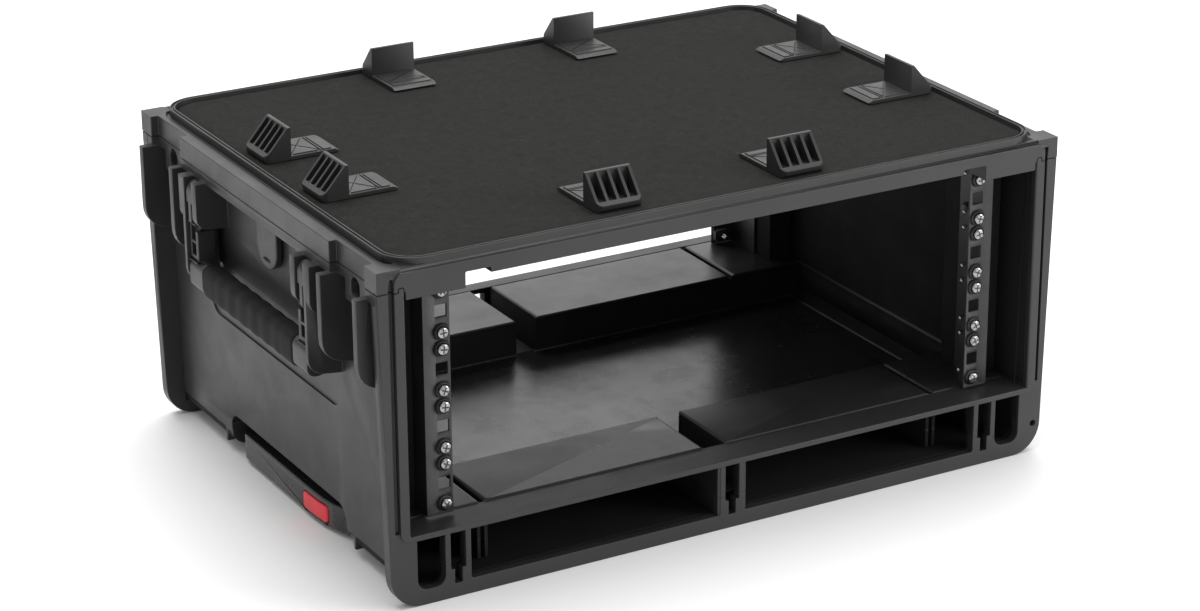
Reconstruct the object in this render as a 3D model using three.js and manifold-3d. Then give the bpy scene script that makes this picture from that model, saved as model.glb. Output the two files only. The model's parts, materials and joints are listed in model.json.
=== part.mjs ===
// Four-unit wheeled equipment rack case body, shown without its lid and end doors.
// Millimetres, +Z up. X runs along the open front (+X is the wheel side),
// Y runs from front (-Y) to back (+Y), and the origin is the middle of the
// ground footprint. The case is the same front to back, so most end details are
// made by one function with side = -1 for the front and +1 for the back.
import * as THREE from 'three';
import { mergeVertices } from 'three/addons/utils/BufferGeometryUtils.js';
import Module from 'manifold-3d';

const wasm = await Module();
wasm.setup();

// ---------------------------------------------------------------- driving dimensions
const CLEARANCE = 0.3;              // air gap between pieces that touch

// 19-inch rack standard
const RACK_UNIT = 44.45;
const RACK_UNITS = 4;
const RACK_HOLE_X = 232.55;         // half of the 465.1 mm between hole columns
const RACK_HOLES_IN_UNIT = [6.35, 22.225, 38.1];
const RACK_HOLE_SIZE = 9.5;
const BAY_BOTTOM = 60.5;

// outer shell
const HALF_DEPTH = 210;             // end flange face
const FLANGE_THICKNESS = 10;
const FLANGE_TOP_X = 291.7;         // the end flange narrows downwards for mould draft
const FLANGE_BOTTOM_X = 286.8;
const FLANGE_CORNER = 25;
const PARTING_Z = 245;              // top frame above, body below
const WALL_TOP_X = 275.2;
const WALL_LOW_X = 272;
const WALL_THICKNESS = 4.5;
const WALL_LOW_Z = 28;
const BODY_BOTTOM = 8;
const BOTTOM_CORNER = 13;
const INNER_CHAMFER = 8;            // where the walls meet the floor inside
const OPENING_X = 271;              // half width of the door opening
const SILL_TOP = 57;
const SILL_UNDER = 52.5;
const FRONT_SILL_DEPTH = 27;
const REAR_SILL_DEPTH = 16.5;
const REAR_SEAM = { start: 12.2, end: 14.6, bottom: 54.2 };

// floor
const FLOOR_TOP = 27;
const FLOOR_THICKNESS = 3;
const STEP_Y = 115;                 // the raised floor boxes start here
const BOX_TOP = 58;
const BOX_INNER_X = 9.5;
const BOX_OUTER_X = 198;
const SEAM = 3;                     // groove between inner and outer boxes
const PLATE = 3;                    // thin moulded webs
const FLOOR_MARK = { x: 8, y: 20, radius: 51, slope: 6, depth: 0.6 };
const SKIRT_X = 252;

// end flange pockets
const POCKET_BOTTOM = 12;
const SLOT_HALF = 6;
const SLOT_BOTTOM = 22.7;
const NOTCH_HALF = 3;
const NOTCH_BOTTOM = 11;
const RIB_WIDTH = 4.5;
const POCKET_END_X = 265.5;
const POCKET_CORNER = 8;

// door seal ridge and groove
const RIDGE_PROUD = 2;
const RIDGE_OUTER_X = 279;
const RIDGE_TOP = 259;
const RIDGE_CORNER = 8;
const GROOVE_OUTER_X = 282.5;
const GROOVE_DEPTH = 3;

// top frame and lid lip
const FRAME_TOP = 261.7;
const FRAME_LATCH_X = 285.5;        // the frame side is set back where the latches go
const CORNER_BLOCK = 19.5;
const BAR_HALF = 134;               // half length of the thick side bar
const LEDGE_BOTTOM = 236.5;
const LIP_OUTER_X = 277.2;
const LIP_OUTER_Y = 208.8;
const LIP_WIDTH = 4.6;
const LIP_TOP = 266.7;
const LIP_CORNER = 28;
const CHANNEL_WIDTH = 3.4;
const CHANNEL_DEPTH = 2;
const BAND_LOW = 238.5;             // underside of the band above the rails
const BAND_HIGH = 246.5;            // underside of the band between the rails
const BAND_STEP_X = 223;
const BAND_NOTCH_X = 203;           // the band is relieved beside each rail
const BAND_NOTCH_TOP = 250.5;
const BAND_DEPTH = 19.5;
const DECK_HALF_X = 270.7;
const DECK_CORNER = 12;
const DECK_BOTTOM = 255;
const CARPET_BOTTOM = 262;
const CARPET_TOP = 264.5;

// side fins that shield the latches
const FIN_REACH = 300.8;
const FIN_THICKNESS = 7;
const FIN_ROWS = [-192, -133.3, 133.3, 192];
const FIN_TOP = 238.3;
const FIN_BOTTOM = 169;
const HINGE_FIN_BOTTOM = 208;
const LATCH_FIN_CORNER = 18;
const HINGE_FIN_CORNER = 8;
const TAB_WIDTH = 34;
const TAB_BOTTOM = 221;
const TAB_ROW = 162.6;
const TAB_HOLE = { halfWidth: 7, bottom: 225.5, top: 242, depth: 13 };

// carry handle, shown folded down between fixed cheeks
const HANDLE_PIVOT = { x: -291.5, z: 228 };
const KNUCKLE = 8.2;                // knuckle radius, and half the arm depth
const INNER_CHEEK = { near: 85, far: 93.5, bottom: 200.6, corner: 8 };
const OUTER_CHEEK = { near: 108, far: 118, bottom: 200.6, corner: 8 };
const GUARD = { near: 107.2, far: 111.6, bottom: 151, corner: 12 };
const ARM_TONGUE = { near: 95.5, far: 106 };
const ARM_LADDER = { near: 91, far: 106.6, top: 197.5, bottom: 174 };
const ARM_ELBOW = { near: 82, far: 106.6, top: 173, bottom: 148 };
const ARM_WAIST = { bottom: 204, top: 219, width: 2.6, depth: 6 };
const ARM_WINDOWS = [[177, 186.5], [189, 201]];
const ARM_WINDOW_Y = { near: 95.5, far: 103.5 };
const ARM_STEP = 1.6;               // the ladder is set back from the cheeks
const GRIP_AXIS_Z = 159;
const GRIP_CORE = 5;
const GRIP_HALF_LENGTH = 81.7;
const PIN_RADIUS = 3;
const SCOOP = { front: -104, rear: 127, bottom: 117, top: 164, corner: 12, depth: 1.5 };

// retractable pull handle under the floor
const PULL_TUBE_Y = 70;
const PULL_TUBE = { width: 18, height: 10, wall: 1.5, z: 16, start: -248.7, end: 195 };
const PULL_SLEEVE = { width: 22.4, height: 14.4, wall: 1.9, start: -242, end: 210 };
const PULL_BEZEL = { outer: -245.4, inner: -242.3 };
const PULL_GRIP = { rear: 97, front: -90, inner: -249, outer: -269.5, end: -256, bottom: 3.5, top: 25 };
const PULL_RECESS = { half: 104, inner: -246, top: 37.5, corner: 12 };
const PULL_BOW = { rear: 16, rearEase: 4, front: 60, frontEase: 12 };
const BUTTON = {
  near: -62, far: -24, bottom: 6, top: 19.5, corner: 3, proud: 0.8, inner: -260, pocket: -255,
};

// wheels on the +X bottom edge
const WHEEL = { x: 271, y: 146, z: 25.5, radius: 23, hub: 14, half: 12 };
const WELL_HALF = 20;
const WELL_TOP = 50.4;
const WHEEL_HOUSING = { outer: 284, cheek: 4, corner: 6 };
const WHEEL_CHAMFER = 2.5;
const AXLE_RADIUS = 3;
const WHEEL_SIDES = 28;

// hook-and-loop cleats on the carpet
const CLEAT = {
  width: 38, length: 62, pad: 40, wall: 2.6, plate: 3, height: 25.7, nose: 6, ribs: 5, ribWidth: 2.6,
  noseCorner: 5, padCorner: 1.5,
};
const CLEAT_PLACES = [
  { x: -84, y: 180, turn: 180 }, { x: 84, y: 180, turn: 180 },
  { x: 245, y: 70, turn: 90 }, { x: 245, y: -60, turn: 90 },
  { x: -243.5, y: 50, turn: -90 }, { x: -243.5, y: -50, turn: -90 },
  { x: -85, y: -168, turn: 0 }, { x: 70, y: -171, turn: 0 },
];

// rack rails and their fasteners
const RAIL_SETBACK = 20;            // rail face behind the flange face
const RAIL_INNER_X = 225.5;
const RAIL_OUTER_X = 247;
const RAIL_SHEET = 2;
const RAIL_FLANGE_END = 60;
const RAIL_TOP = 250;
const RAIL_BOLT_HEIGHTS = [100, 196];
const RAIL_BOLT_DEPTH = 49;
const RAIL_COLUMN = { offset: 14.75, start: 38, end: 82 };   // web beyond the hole line, and its depth
const SCREW_SIDES = 14;
const SCREW_PROFILE = [
  [0, -6.4], [2.6, -6.1], [4.7, -4.8], [4.9, -3], [5.6, -2.4], [6.1, -0.8], [6.1, 0],
  [2.9, 0], [2.9, 16.5], [2.2, 18], [0, 18],
];
const BOLT_SIDES = 12;
const BOLT_PROFILE = [[0, 0], [5.5, 0], [6, 1.5], [4, 3.4], [0, 3.8]];

const ABOVE_ALL = 300;              // higher than every piece, for cutters

// parts of the top and end frames that key together, and the shelf under the deck
const RIDGE_TONGUE = { inner: 271.6, outer: 275.5, top: 248 };
const FRAME_PIN = { x: 280, z: 24.3, radius: 2.6 };
const CORNER_BLOCK_FACE_X = 273;
const SHELF_REACH = 8;
const GLAND = { width: 1.6, depth: 1.6 };
const PRESSURE_VALVE = { radius: 17.5, z: 212, face: -281 };

// ---------------------------------------------------------------- solid modelling helpers
function toSolid(geometry) {
  const bare = geometry.clone();
  bare.deleteAttribute('normal');
  bare.deleteAttribute('uv');
  const welded = mergeVertices(bare, 1e-4);
  return new wasm.Manifold(new wasm.Mesh({
    numProp: 3,
    vertProperties: new Float32Array(welded.attributes.position.array),
    triVerts: new Uint32Array(welded.index.array),
  }));
}

function toGeometry(solid) {
  const mesh = solid.getMesh();
  const geometry = new THREE.BufferGeometry();
  geometry.setAttribute('position', new THREE.BufferAttribute(mesh.vertProperties, 3));
  geometry.setIndex(new THREE.BufferAttribute(mesh.triVerts, 1));
  geometry.computeVertexNormals();
  return geometry;
}

function block(x0, x1, y0, y1, z0, z1) {
  const geometry = new THREE.BoxGeometry(Math.abs(x1 - x0), Math.abs(y1 - y0), Math.abs(z1 - z0));
  geometry.translate((x0 + x1) / 2, (y0 + y1) / 2, (z0 + z1) / 2);
  return toSolid(geometry);
}

const AXIS_X = new THREE.Vector3(1, 0, 0);
const AXIS_Y = new THREE.Vector3(0, 1, 0);
const AXIS_Z = new THREE.Vector3(0, 0, 1);

function extrude(shape, depth, curveSegments) {
  return new THREE.ExtrudeGeometry(shape, { depth, bevelEnabled: false, curveSegments });
}

// outline drawn in plan (x, y), extruded from z0 up to z1
function planPrism(shape, z0, z1, curveSegments = 5) {
  const geometry = extrude(shape, z1 - z0, curveSegments);
  geometry.translate(0, 0, z0);
  return toSolid(geometry);
}

// outline drawn as seen from the front (x, z), extruded from y0 back to y1
function frontPrism(shape, y0, y1, curveSegments = 5) {
  const geometry = extrude(shape, y1 - y0, curveSegments);
  geometry.applyMatrix4(new THREE.Matrix4().makeBasis(AXIS_X, AXIS_Z, AXIS_Y.clone().negate()));
  geometry.translate(0, y1, 0);
  return toSolid(geometry);
}

// outline drawn as seen from the +X side (y, z), extruded from x0 to x1
function sidePrism(shape, x0, x1, curveSegments = 5) {
  const geometry = extrude(shape, x1 - x0, curveSegments);
  geometry.applyMatrix4(new THREE.Matrix4().makeBasis(AXIS_Y, AXIS_Z, AXIS_X));
  geometry.translate(x0, 0, 0);
  return toSolid(geometry);
}

// turned solid about the Y axis from [radius, height along Y] pairs
function lathe(profile, sides) {
  const points = profile.map(([radius, along]) => new THREE.Vector2(radius, along));
  return toSolid(new THREE.LatheGeometry(points, sides));
}

// round bar along Y
function rodY(x, z, radius, y0, y1, sides = 16) {
  const geometry = new THREE.CylinderGeometry(radius, radius, y1 - y0, sides);
  geometry.translate(x, (y0 + y1) / 2, z);
  return toSolid(geometry);
}

function polygon(points) {
  return new THREE.Shape(points.map(([a, b]) => new THREE.Vector2(a, b)));
}

function roundedRectangle(a0, a1, b0, b1, radius) {
  const shape = new THREE.Shape();
  shape.moveTo(a0 + radius, b0);
  shape.lineTo(a1 - radius, b0);
  shape.absarc(a1 - radius, b0 + radius, radius, -Math.PI / 2, 0);
  shape.lineTo(a1, b1 - radius);
  shape.absarc(a1 - radius, b1 - radius, radius, 0, Math.PI / 2);
  shape.lineTo(a0 + radius, b1);
  shape.absarc(a0 + radius, b1 - radius, radius, Math.PI / 2, Math.PI);
  shape.lineTo(a0, b0 + radius);
  shape.absarc(a0 + radius, b0 + radius, radius, Math.PI, Math.PI * 1.5);
  return shape;
}

function union(...solids) {
  return solids.flat(Infinity).reduce((sum, solid) => sum.add(solid));
}

function cut(solid, ...tools) {
  return tools.flat(Infinity).reduce((rest, tool) => rest.subtract(tool), solid);
}

// the same block at one end: y is measured inwards from the flange face
function endBlock(side, x0, x1, depth0, depth1, z0, z1) {
  return block(x0, x1, side * (HALF_DEPTH - depth0), side * (HALF_DEPTH - depth1), z0, z1);
}

function bothSides(make) {
  return [make(-1), make(1)];
}

// ---------------------------------------------------------------- materials
const blackPlastic = () => new THREE.MeshStandardMaterial({ color: 0x2b2b2b, roughness: 0.55 });
const glossPlastic = () => new THREE.MeshStandardMaterial({ color: 0x1b1c1b, roughness: 0.3 });
const blackSteel = () => new THREE.MeshStandardMaterial({ color: 0x1d1d1d, roughness: 0.45, metalness: 0.4 });
const blackRubber = () => new THREE.MeshStandardMaterial({ color: 0x202020, roughness: 0.85 });
const loopCarpet = () => new THREE.MeshStandardMaterial({ color: 0x33322f, roughness: 1 });
const redPlastic = () => new THREE.MeshStandardMaterial({ color: 0xd02535, roughness: 0.4 });
const chrome = () => new THREE.MeshStandardMaterial({ color: 0xd8d8d8, roughness: 0.2, metalness: 1 });
const aluminium = () => new THREE.MeshStandardMaterial({ color: 0xb4b6b8, roughness: 0.35, metalness: 1 });

const rackCase = new THREE.Group();

function addPiece(name, solid, material) {
  const mesh = new THREE.Mesh(toGeometry(solid), material);
  mesh.name = name;
  rackCase.add(mesh);
  return mesh;
}

// ---------------------------------------------------------------- case tub
// side wall section with its rounded bottom edge; the outline of the whole U
function wallOuterX(z) {
  const slope = (WALL_TOP_X - WALL_LOW_X) / (PARTING_Z - WALL_LOW_Z);
  return WALL_LOW_X + slope * (z - WALL_LOW_Z);
}

function tubSection(floorTop, floorUnder, floorUnderX) {
  const top = PARTING_Z - CLEARANCE;
  const innerTop = wallOuterX(top) - WALL_THICKNESS;
  const innerLow = wallOuterX(floorTop) - WALL_THICKNESS;
  const shape = new THREE.Shape();
  shape.moveTo(-wallOuterX(top), top);
  shape.lineTo(-WALL_LOW_X, WALL_LOW_Z);
  shape.quadraticCurveTo(-WALL_LOW_X, BODY_BOTTOM, -WALL_LOW_X + BOTTOM_CORNER, BODY_BOTTOM);
  shape.lineTo(-floorUnderX, BODY_BOTTOM);
  shape.lineTo(-floorUnderX, floorUnder);
  shape.lineTo(floorUnderX, floorUnder);
  shape.lineTo(floorUnderX, BODY_BOTTOM);
  shape.lineTo(WALL_LOW_X - BOTTOM_CORNER, BODY_BOTTOM);
  shape.quadraticCurveTo(WALL_LOW_X, BODY_BOTTOM, WALL_LOW_X, WALL_LOW_Z);
  shape.lineTo(wallOuterX(top), top);
  shape.lineTo(innerTop, top);
  shape.lineTo(innerLow, floorTop + INNER_CHAMFER);
  shape.lineTo(innerLow - INNER_CHAMFER, floorTop);
  shape.lineTo(-innerLow + INNER_CHAMFER, floorTop);
  shape.lineTo(-innerLow, floorTop + INNER_CHAMFER);
  shape.lineTo(-innerTop, top);
  return shape;
}

function tubTrough() {
  const end = HALF_DEPTH - FLANGE_THICKNESS - CLEARANCE;
  const middle = tubSection(FLOOR_TOP, FLOOR_TOP - FLOOR_THICKNESS, SKIRT_X);
  const low = tubSection(POCKET_BOTTOM, BODY_BOTTOM + 0.01, SKIRT_X);
  const bulkheadX = wallOuterX(FLOOR_TOP) - 1;
  const trenchX = BOX_INNER_X - CLEARANCE;
  const stepEnd = STEP_Y + PLATE;
  const bulkheads = bothSides((side) => block(
    -bulkheadX, bulkheadX, side * STEP_Y, side * stepEnd, BODY_BOTTOM, BOX_TOP - PLATE - CLEARANCE,
  ));
  const trenchGap = bothSides((side) => block(
    -trenchX, trenchX, side * (STEP_Y - 1), side * (stepEnd + 1), FLOOR_TOP, BOX_TOP,
  ));
  const trenchFloor = bothSides((side) => block(
    -trenchX, trenchX, side * STEP_Y, side * end, FLOOR_TOP - FLOOR_THICKNESS, FLOOR_TOP,
  ));
  return union(
    frontPrism(middle, -STEP_Y - PLATE, STEP_Y + PLATE),
    frontPrism(low, -end, -STEP_Y),
    frontPrism(low, STEP_Y, end),
    bulkheads.map((bulkhead) => cut(bulkhead, trenchGap)),
    trenchFloor,
  );
}

// fin as seen from the front, on the -X side
function finOutline(reach, top, bottom, corner) {
  const root = WALL_LOW_X - 1;
  const shape = new THREE.Shape();
  shape.moveTo(-root, top);
  shape.lineTo(-root, bottom - 2);
  shape.lineTo(-reach + corner, bottom);
  shape.quadraticCurveTo(-reach, bottom + 3, -reach, bottom + corner + 2);
  shape.lineTo(-reach, top);
  return shape;
}

function fin(side, y0, y1, bottom, corner) {
  const outline = finOutline(FIN_REACH, FIN_TOP, bottom, corner);
  const plate = frontPrism(outline, Math.min(y0, y1), Math.max(y0, y1), 6);
  const inside = block(-WALL_TOP_X + 2, 0, -HALF_DEPTH, HALF_DEPTH, 0, FRAME_TOP);
  const outer = plate.subtract(inside);
  return side < 0 ? outer : outer.mirror([1, 0, 0]);
}

function finRow(side, bottom, corner) {
  return FIN_ROWS.map((y) => fin(side, y - FIN_THICKNESS / 2, y + FIN_THICKNESS / 2, bottom, corner));
}

// fixed cheeks either side of each arm, and the long guard outside it
function handleCheeks() {
  const plates = [INNER_CHEEK, OUTER_CHEEK, GUARD];
  return bothSides((side) => plates.map(({ near, far, bottom, corner }) => (
    fin(-1, side * near, side * far, bottom, corner))));
}

// blind bores for the two handle pins
function pinBores() {
  return bothSides((side) => {
    const ends = [side * (INNER_CHEEK.near + 2), side * (OUTER_CHEEK.far + 1)].sort((a, b) => a - b);
    return rodY(HANDLE_PIVOT.x, HANDLE_PIVOT.z, PIN_RADIUS + CLEARANCE, ...ends);
  });
}

// finger space in the wall behind and below the folded grip
function gripScoop() {
  const { front, rear, bottom, top, corner, depth } = SCOOP;
  const outline = roundedRectangle(front, rear, bottom, top, corner);
  return sidePrism(outline, -WALL_TOP_X - 1, -wallOuterX(bottom) + depth);
}

// body half of the ledge under the top frame, and the corner block undersides
function bodyLedges() {
  const top = PARTING_Z - CLEARANCE;
  const root = WALL_TOP_X - 3;
  const end = HALF_DEPTH - FLANGE_THICKNESS - CLEARANCE;
  return bothSides((side) => [
    block(side * root, side * FLANGE_TOP_X, -BAR_HALF, BAR_HALF, LEDGE_BOTTOM, top),
    block(side * root, side * FRAME_LATCH_X, -end, end, LEDGE_BOTTOM, top),
    bothSides((endSide) => block(side * root, side * FLANGE_TOP_X,
      endSide * (HALF_DEPTH - CORNER_BLOCK), endSide * end, LEDGE_BOTTOM, top)),
  ]);
}

// tab between each pair of latch fins, and the oval hole for the latch hook
function latchTab(side) {
  const y = side * TAB_ROW;
  return block(-FRAME_LATCH_X, -WALL_TOP_X + 2, y - TAB_WIDTH / 2, y + TAB_WIDTH / 2,
    TAB_BOTTOM, PARTING_Z - CLEARANCE);
}

function latchHole(side) {
  const y = side * TAB_ROW;
  const { halfWidth, bottom, top, depth } = TAB_HOLE;
  const outline = roundedRectangle(y - halfWidth, y + halfWidth, bottom, top, halfWidth - 0.5);
  return sidePrism(outline, -FRAME_LATCH_X - 1, -FRAME_LATCH_X + depth);
}

// upright webs that the rack rails bolt to
function railColumns() {
  const { offset, start, end: back } = RAIL_COLUMN;
  const webX = RACK_HOLE_X + offset;
  const wallX = OPENING_X - 2;
  const top = RAIL_TOP;
  const bottom = BOX_TOP + CLEARANCE;
  const columns = [];
  for (const side of [-1, 1]) {
    for (const end of [-1, 1]) {
      columns.push(endBlock(end, side * webX, side * wallX, start, start + PLATE, bottom, top));
      columns.push(endBlock(end, side * webX, side * (webX + PLATE), start, back, bottom, top));
      columns.push(endBlock(end, side * webX, side * wallX, back - PLATE, back, bottom, top));
    }
  }
  // keep only what lies inside the slanted side walls
  const keep = block(-OPENING_X + 3, OPENING_X - 3, -HALF_DEPTH, HALF_DEPTH, bottom - 1, top + 1);
  return columns.map((column) => column.intersect(keep));
}

// shallow dished gate mark in the middle of the floor
function floorMark() {
  const { x, y, radius, slope, depth } = FLOOR_MARK;
  const profile = [[0, -depth], [radius - slope, -depth], [radius, 0], [radius, 1], [0, 1]];
  return lathe(profile, 40).rotate([90, 0, 0]).translate([x, y, FLOOR_TOP]);
}

// finger space around the retracted pull grip, boxed in above the floor
function pullHandleRecess() {
  const { half, inner, top, corner } = PULL_RECESS;
  const cover = roundedRectangle(-half - PLATE, half + PLATE, BODY_BOTTOM, top + PLATE, corner + PLATE);
  const hollow = roundedRectangle(-half, half, -corner, top, corner);
  return {
    cover: sidePrism(cover, -WALL_LOW_X + 1, inner + PLATE)
      .subtract(block(-SKIRT_X, 0, -half, half, 0, FLOOR_TOP - FLOOR_THICKNESS)),
    hollow: sidePrism(hollow, -WALL_TOP_X - 1, inner),
  };
}

// housing for each wheel, open outwards and downwards
function wheelHousing(side) {
  const y0 = side * WHEEL.y - WELL_HALF;
  const y1 = side * WHEEL.y + WELL_HALF;
  const inner = WHEEL.x - WHEEL.radius - 2;
  const { outer, cheek, corner } = WHEEL_HOUSING;
  const outline = roundedRectangle(inner - PLATE, outer, BODY_BOTTOM, WELL_TOP + PLATE, corner);
  const housing = frontPrism(outline, y0 - cheek, y1 + cheek);
  const cavity = block(inner, outer + 20, y0, y1, -1, WELL_TOP);
  const bore = rodY(WHEEL.x, WHEEL.z, AXLE_RADIUS + CLEARANCE, y0 - cheek - 1, y1 + cheek + 1);
  return { housing, cavity, bore };
}

function caseTub() {
  const wheels = bothSides(wheelHousing);
  const recess = pullHandleRecess();
  const shell = cut(tubTrough(), gripScoop());
  const added = union(
    shell, finRow(-1, FIN_BOTTOM, LATCH_FIN_CORNER), finRow(1, HINGE_FIN_BOTTOM, HINGE_FIN_CORNER),
    handleCheeks(), bodyLedges(), bothSides(latchTab), railColumns(), recess.cover,
    wheels.map((wheel) => wheel.housing),
  );
  return cut(
    added, floorMark(), recess.hollow, bothSides(latchHole), pinBores(),
    wheels.map((wheel) => wheel.cavity), wheels.map((wheel) => wheel.bore),
  );
}

// ---------------------------------------------------------------- end frames
function flangeOutline() {
  const top = PARTING_Z - CLEARANCE;
  const shape = new THREE.Shape();
  shape.moveTo(-FLANGE_TOP_X, top);
  shape.lineTo(-FLANGE_BOTTOM_X, FLANGE_CORNER);
  shape.absarc(-FLANGE_BOTTOM_X + FLANGE_CORNER, FLANGE_CORNER, FLANGE_CORNER, Math.PI, Math.PI * 1.5);
  shape.lineTo(FLANGE_BOTTOM_X - FLANGE_CORNER, 0);
  shape.absarc(FLANGE_BOTTOM_X - FLANGE_CORNER, FLANGE_CORNER, FLANGE_CORNER, -Math.PI / 2, 0);
  shape.lineTo(FLANGE_TOP_X, top);
  shape.lineTo(OPENING_X, top);
  shape.lineTo(OPENING_X, SILL_TOP);
  shape.lineTo(-OPENING_X, SILL_TOP);
  shape.lineTo(-OPENING_X, top);
  return shape;
}

function ridgeOutline() {
  const top = PARTING_Z - CLEARANCE;
  const cornerX = RIDGE_OUTER_X - RIDGE_CORNER;
  const cornerZ = SILL_UNDER + RIDGE_CORNER;
  const shape = new THREE.Shape();
  shape.moveTo(-RIDGE_OUTER_X, top);
  shape.lineTo(-RIDGE_OUTER_X, cornerZ);
  shape.absarc(-cornerX, cornerZ, RIDGE_CORNER, Math.PI, Math.PI * 1.5);
  shape.lineTo(cornerX, SILL_UNDER);
  shape.absarc(cornerX, cornerZ, RIDGE_CORNER, -Math.PI / 2, 0);
  shape.lineTo(RIDGE_OUTER_X, top);
  shape.lineTo(OPENING_X, top);
  shape.lineTo(OPENING_X, SILL_TOP);
  shape.lineTo(-OPENING_X, SILL_TOP);
  shape.lineTo(-OPENING_X, top);
  return shape;
}

function endSpan(side, depth0, depth1) {
  const near = side * (HALF_DEPTH - depth0);
  const far = side * (HALF_DEPTH - depth1);
  return [Math.min(near, far), Math.max(near, far)];
}

// openings in the lower band: wide pockets, keyhole slots between paired ribs
function pocketCutters(side) {
  const span = endSpan(side, -RIDGE_PROUD - 1, FLANGE_THICKNESS + 1);
  const pockets = [];
  const wideStart = SLOT_HALF + RIB_WIDTH;
  const wideEnd = RACK_HOLE_X - SLOT_HALF - RIB_WIDTH;
  const cornerStart = RACK_HOLE_X + SLOT_HALF + RIB_WIDTH;
  for (const half of [-1, 1]) {
    const [a, b] = half < 0 ? [-wideEnd, -wideStart] : [wideStart, wideEnd];
    pockets.push(frontPrism(roundedRectangle(a, b, POCKET_BOTTOM, SILL_UNDER, 2), ...span, 2));
    const [c, d] = half < 0 ? [-POCKET_END_X, -cornerStart] : [cornerStart, POCKET_END_X];
    pockets.push(frontPrism(roundedRectangle(c, d, POCKET_BOTTOM, SILL_UNDER, POCKET_CORNER), ...span, 3)
      .add(block(c, d, span[0], span[1], SILL_UNDER - 2 * POCKET_CORNER, SILL_UNDER)));
  }
  for (const x of [-RACK_HOLE_X, 0, RACK_HOLE_X]) {
    pockets.push(block(x - SLOT_HALF, x + SLOT_HALF, span[0], span[1], SLOT_BOTTOM, SILL_UNDER));
    pockets.push(block(x - NOTCH_HALF, x + NOTCH_HALF, span[0], span[1], NOTCH_BOTTOM, SLOT_BOTTOM + 1));
  }
  return pockets;
}

function grooveCutters(side) {
  const span = endSpan(side, -1, GROOVE_DEPTH);
  return bothSides((half) => block(half * RIDGE_OUTER_X, half * GROOVE_OUTER_X, span[0], span[1],
    SILL_UNDER + RIDGE_CORNER, PARTING_Z + 1));
}

// one hollow floor box: its top and the upright webs listed in webs
function raisedBox(side, x0, x1, webs, start) {
  const depthEnd = HALF_DEPTH - STEP_Y;
  const webEnd = depthEnd - PLATE - CLEARANCE;
  const foot = POCKET_BOTTOM + CLEARANCE;
  return [
    endBlock(side, x0, x1, start, depthEnd, BOX_TOP - PLATE, BOX_TOP),
    webs.map(([a, b, webStart]) => endBlock(side, a, b, webStart, webEnd, foot, BOX_TOP)),
  ];
}

// hollow floor boxes behind the pockets, and the sill in front of them
function raisedBoxes(side) {
  const sillDepth = side < 0 ? FRONT_SILL_DEPTH : REAR_SILL_DEPTH;
  const start = sillDepth - 1;
  const outerStart = BOX_OUTER_X + SEAM;
  const outerEnd = wallOuterX(SILL_UNDER) - WALL_THICKNESS - CLEARANCE;
  const sill = endBlock(side, -outerEnd, outerEnd, 0, sillDepth, SILL_UNDER, SILL_TOP);
  const boxes = bothSides((half) => [
    raisedBox(side, half * BOX_INNER_X, half * BOX_OUTER_X, [
      [half * BOX_INNER_X, half * (BOX_INNER_X + PLATE), 1],
      [half * (BOX_OUTER_X - PLATE), half * BOX_OUTER_X, start],
    ], start),
    raisedBox(side, half * outerStart, half * outerEnd, [
      [half * outerStart, half * (outerStart + PLATE), start],
    ], start),
  ]);
  const { start: seamStart, end: seamEnd, bottom: seamBottom } = REAR_SEAM;
  const seams = [
    endBlock(side, -OPENING_X, OPENING_X, seamStart, seamEnd, seamBottom, BOX_TOP + 1),
    endBlock(side, -BOX_INNER_X, BOX_INNER_X, seamStart, REAR_SILL_DEPTH + 1, SILL_UNDER - 1, BOX_TOP + 1),
  ];
  const overSill = endBlock(side, -OPENING_X, OPENING_X, -RIDGE_PROUD - 1,
    side < 0 ? FRONT_SILL_DEPTH : seamStart, SILL_TOP, BOX_TOP + 1);
  return cut(union(sill, boxes), overSill, side < 0 ? [] : seams);
}

// tongue on the ridge that keys the top frame in place
function ridgeTongues(side, grow) {
  const span = endSpan(side, -RIDGE_PROUD, FLANGE_THICKNESS + grow);
  const { inner, outer, top } = RIDGE_TONGUE;
  return bothSides((half) => block(half * (inner - grow), half * (outer + grow),
    span[0] - grow, span[1] + grow, PARTING_Z - 1, top + grow));
}

function endFrame(side) {
  const flange = frontPrism(flangeOutline(), ...endSpan(side, 0, FLANGE_THICKNESS));
  const ridge = frontPrism(ridgeOutline(), ...endSpan(side, -RIDGE_PROUD, 1));
  const cornerLedges = bothSides((half) => endBlock(side, half * OPENING_X, half * FLANGE_TOP_X,
    1, FLANGE_THICKNESS, LEDGE_BOTTOM, PARTING_Z - CLEARANCE));
  const solid = cut(union(flange, ridge, cornerLedges), pocketCutters(side), grooveCutters(side));
  const { x, z, radius } = FRAME_PIN;
  const pinHole = rodY(x, z, radius, ...endSpan(side, -1, FLANGE_THICKNESS + 1), 12);
  return cut(union(solid, raisedBoxes(side), ridgeTongues(side, 0)), pinHole);
}

// ---------------------------------------------------------------- top frame
function frameOutline() {
  const latchIn = HALF_DEPTH - CORNER_BLOCK;
  const right = [
    [FLANGE_TOP_X, -HALF_DEPTH], [FLANGE_TOP_X, -latchIn], [FRAME_LATCH_X, -latchIn],
    [FRAME_LATCH_X, -BAR_HALF], [FLANGE_TOP_X, -BAR_HALF], [FLANGE_TOP_X, BAR_HALF],
    [FRAME_LATCH_X, BAR_HALF], [FRAME_LATCH_X, latchIn], [FLANGE_TOP_X, latchIn],
    [FLANGE_TOP_X, HALF_DEPTH],
  ];
  const left = right.map(([x, y]) => [-x, -y]);
  return polygon([...right, ...left]);
}

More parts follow.
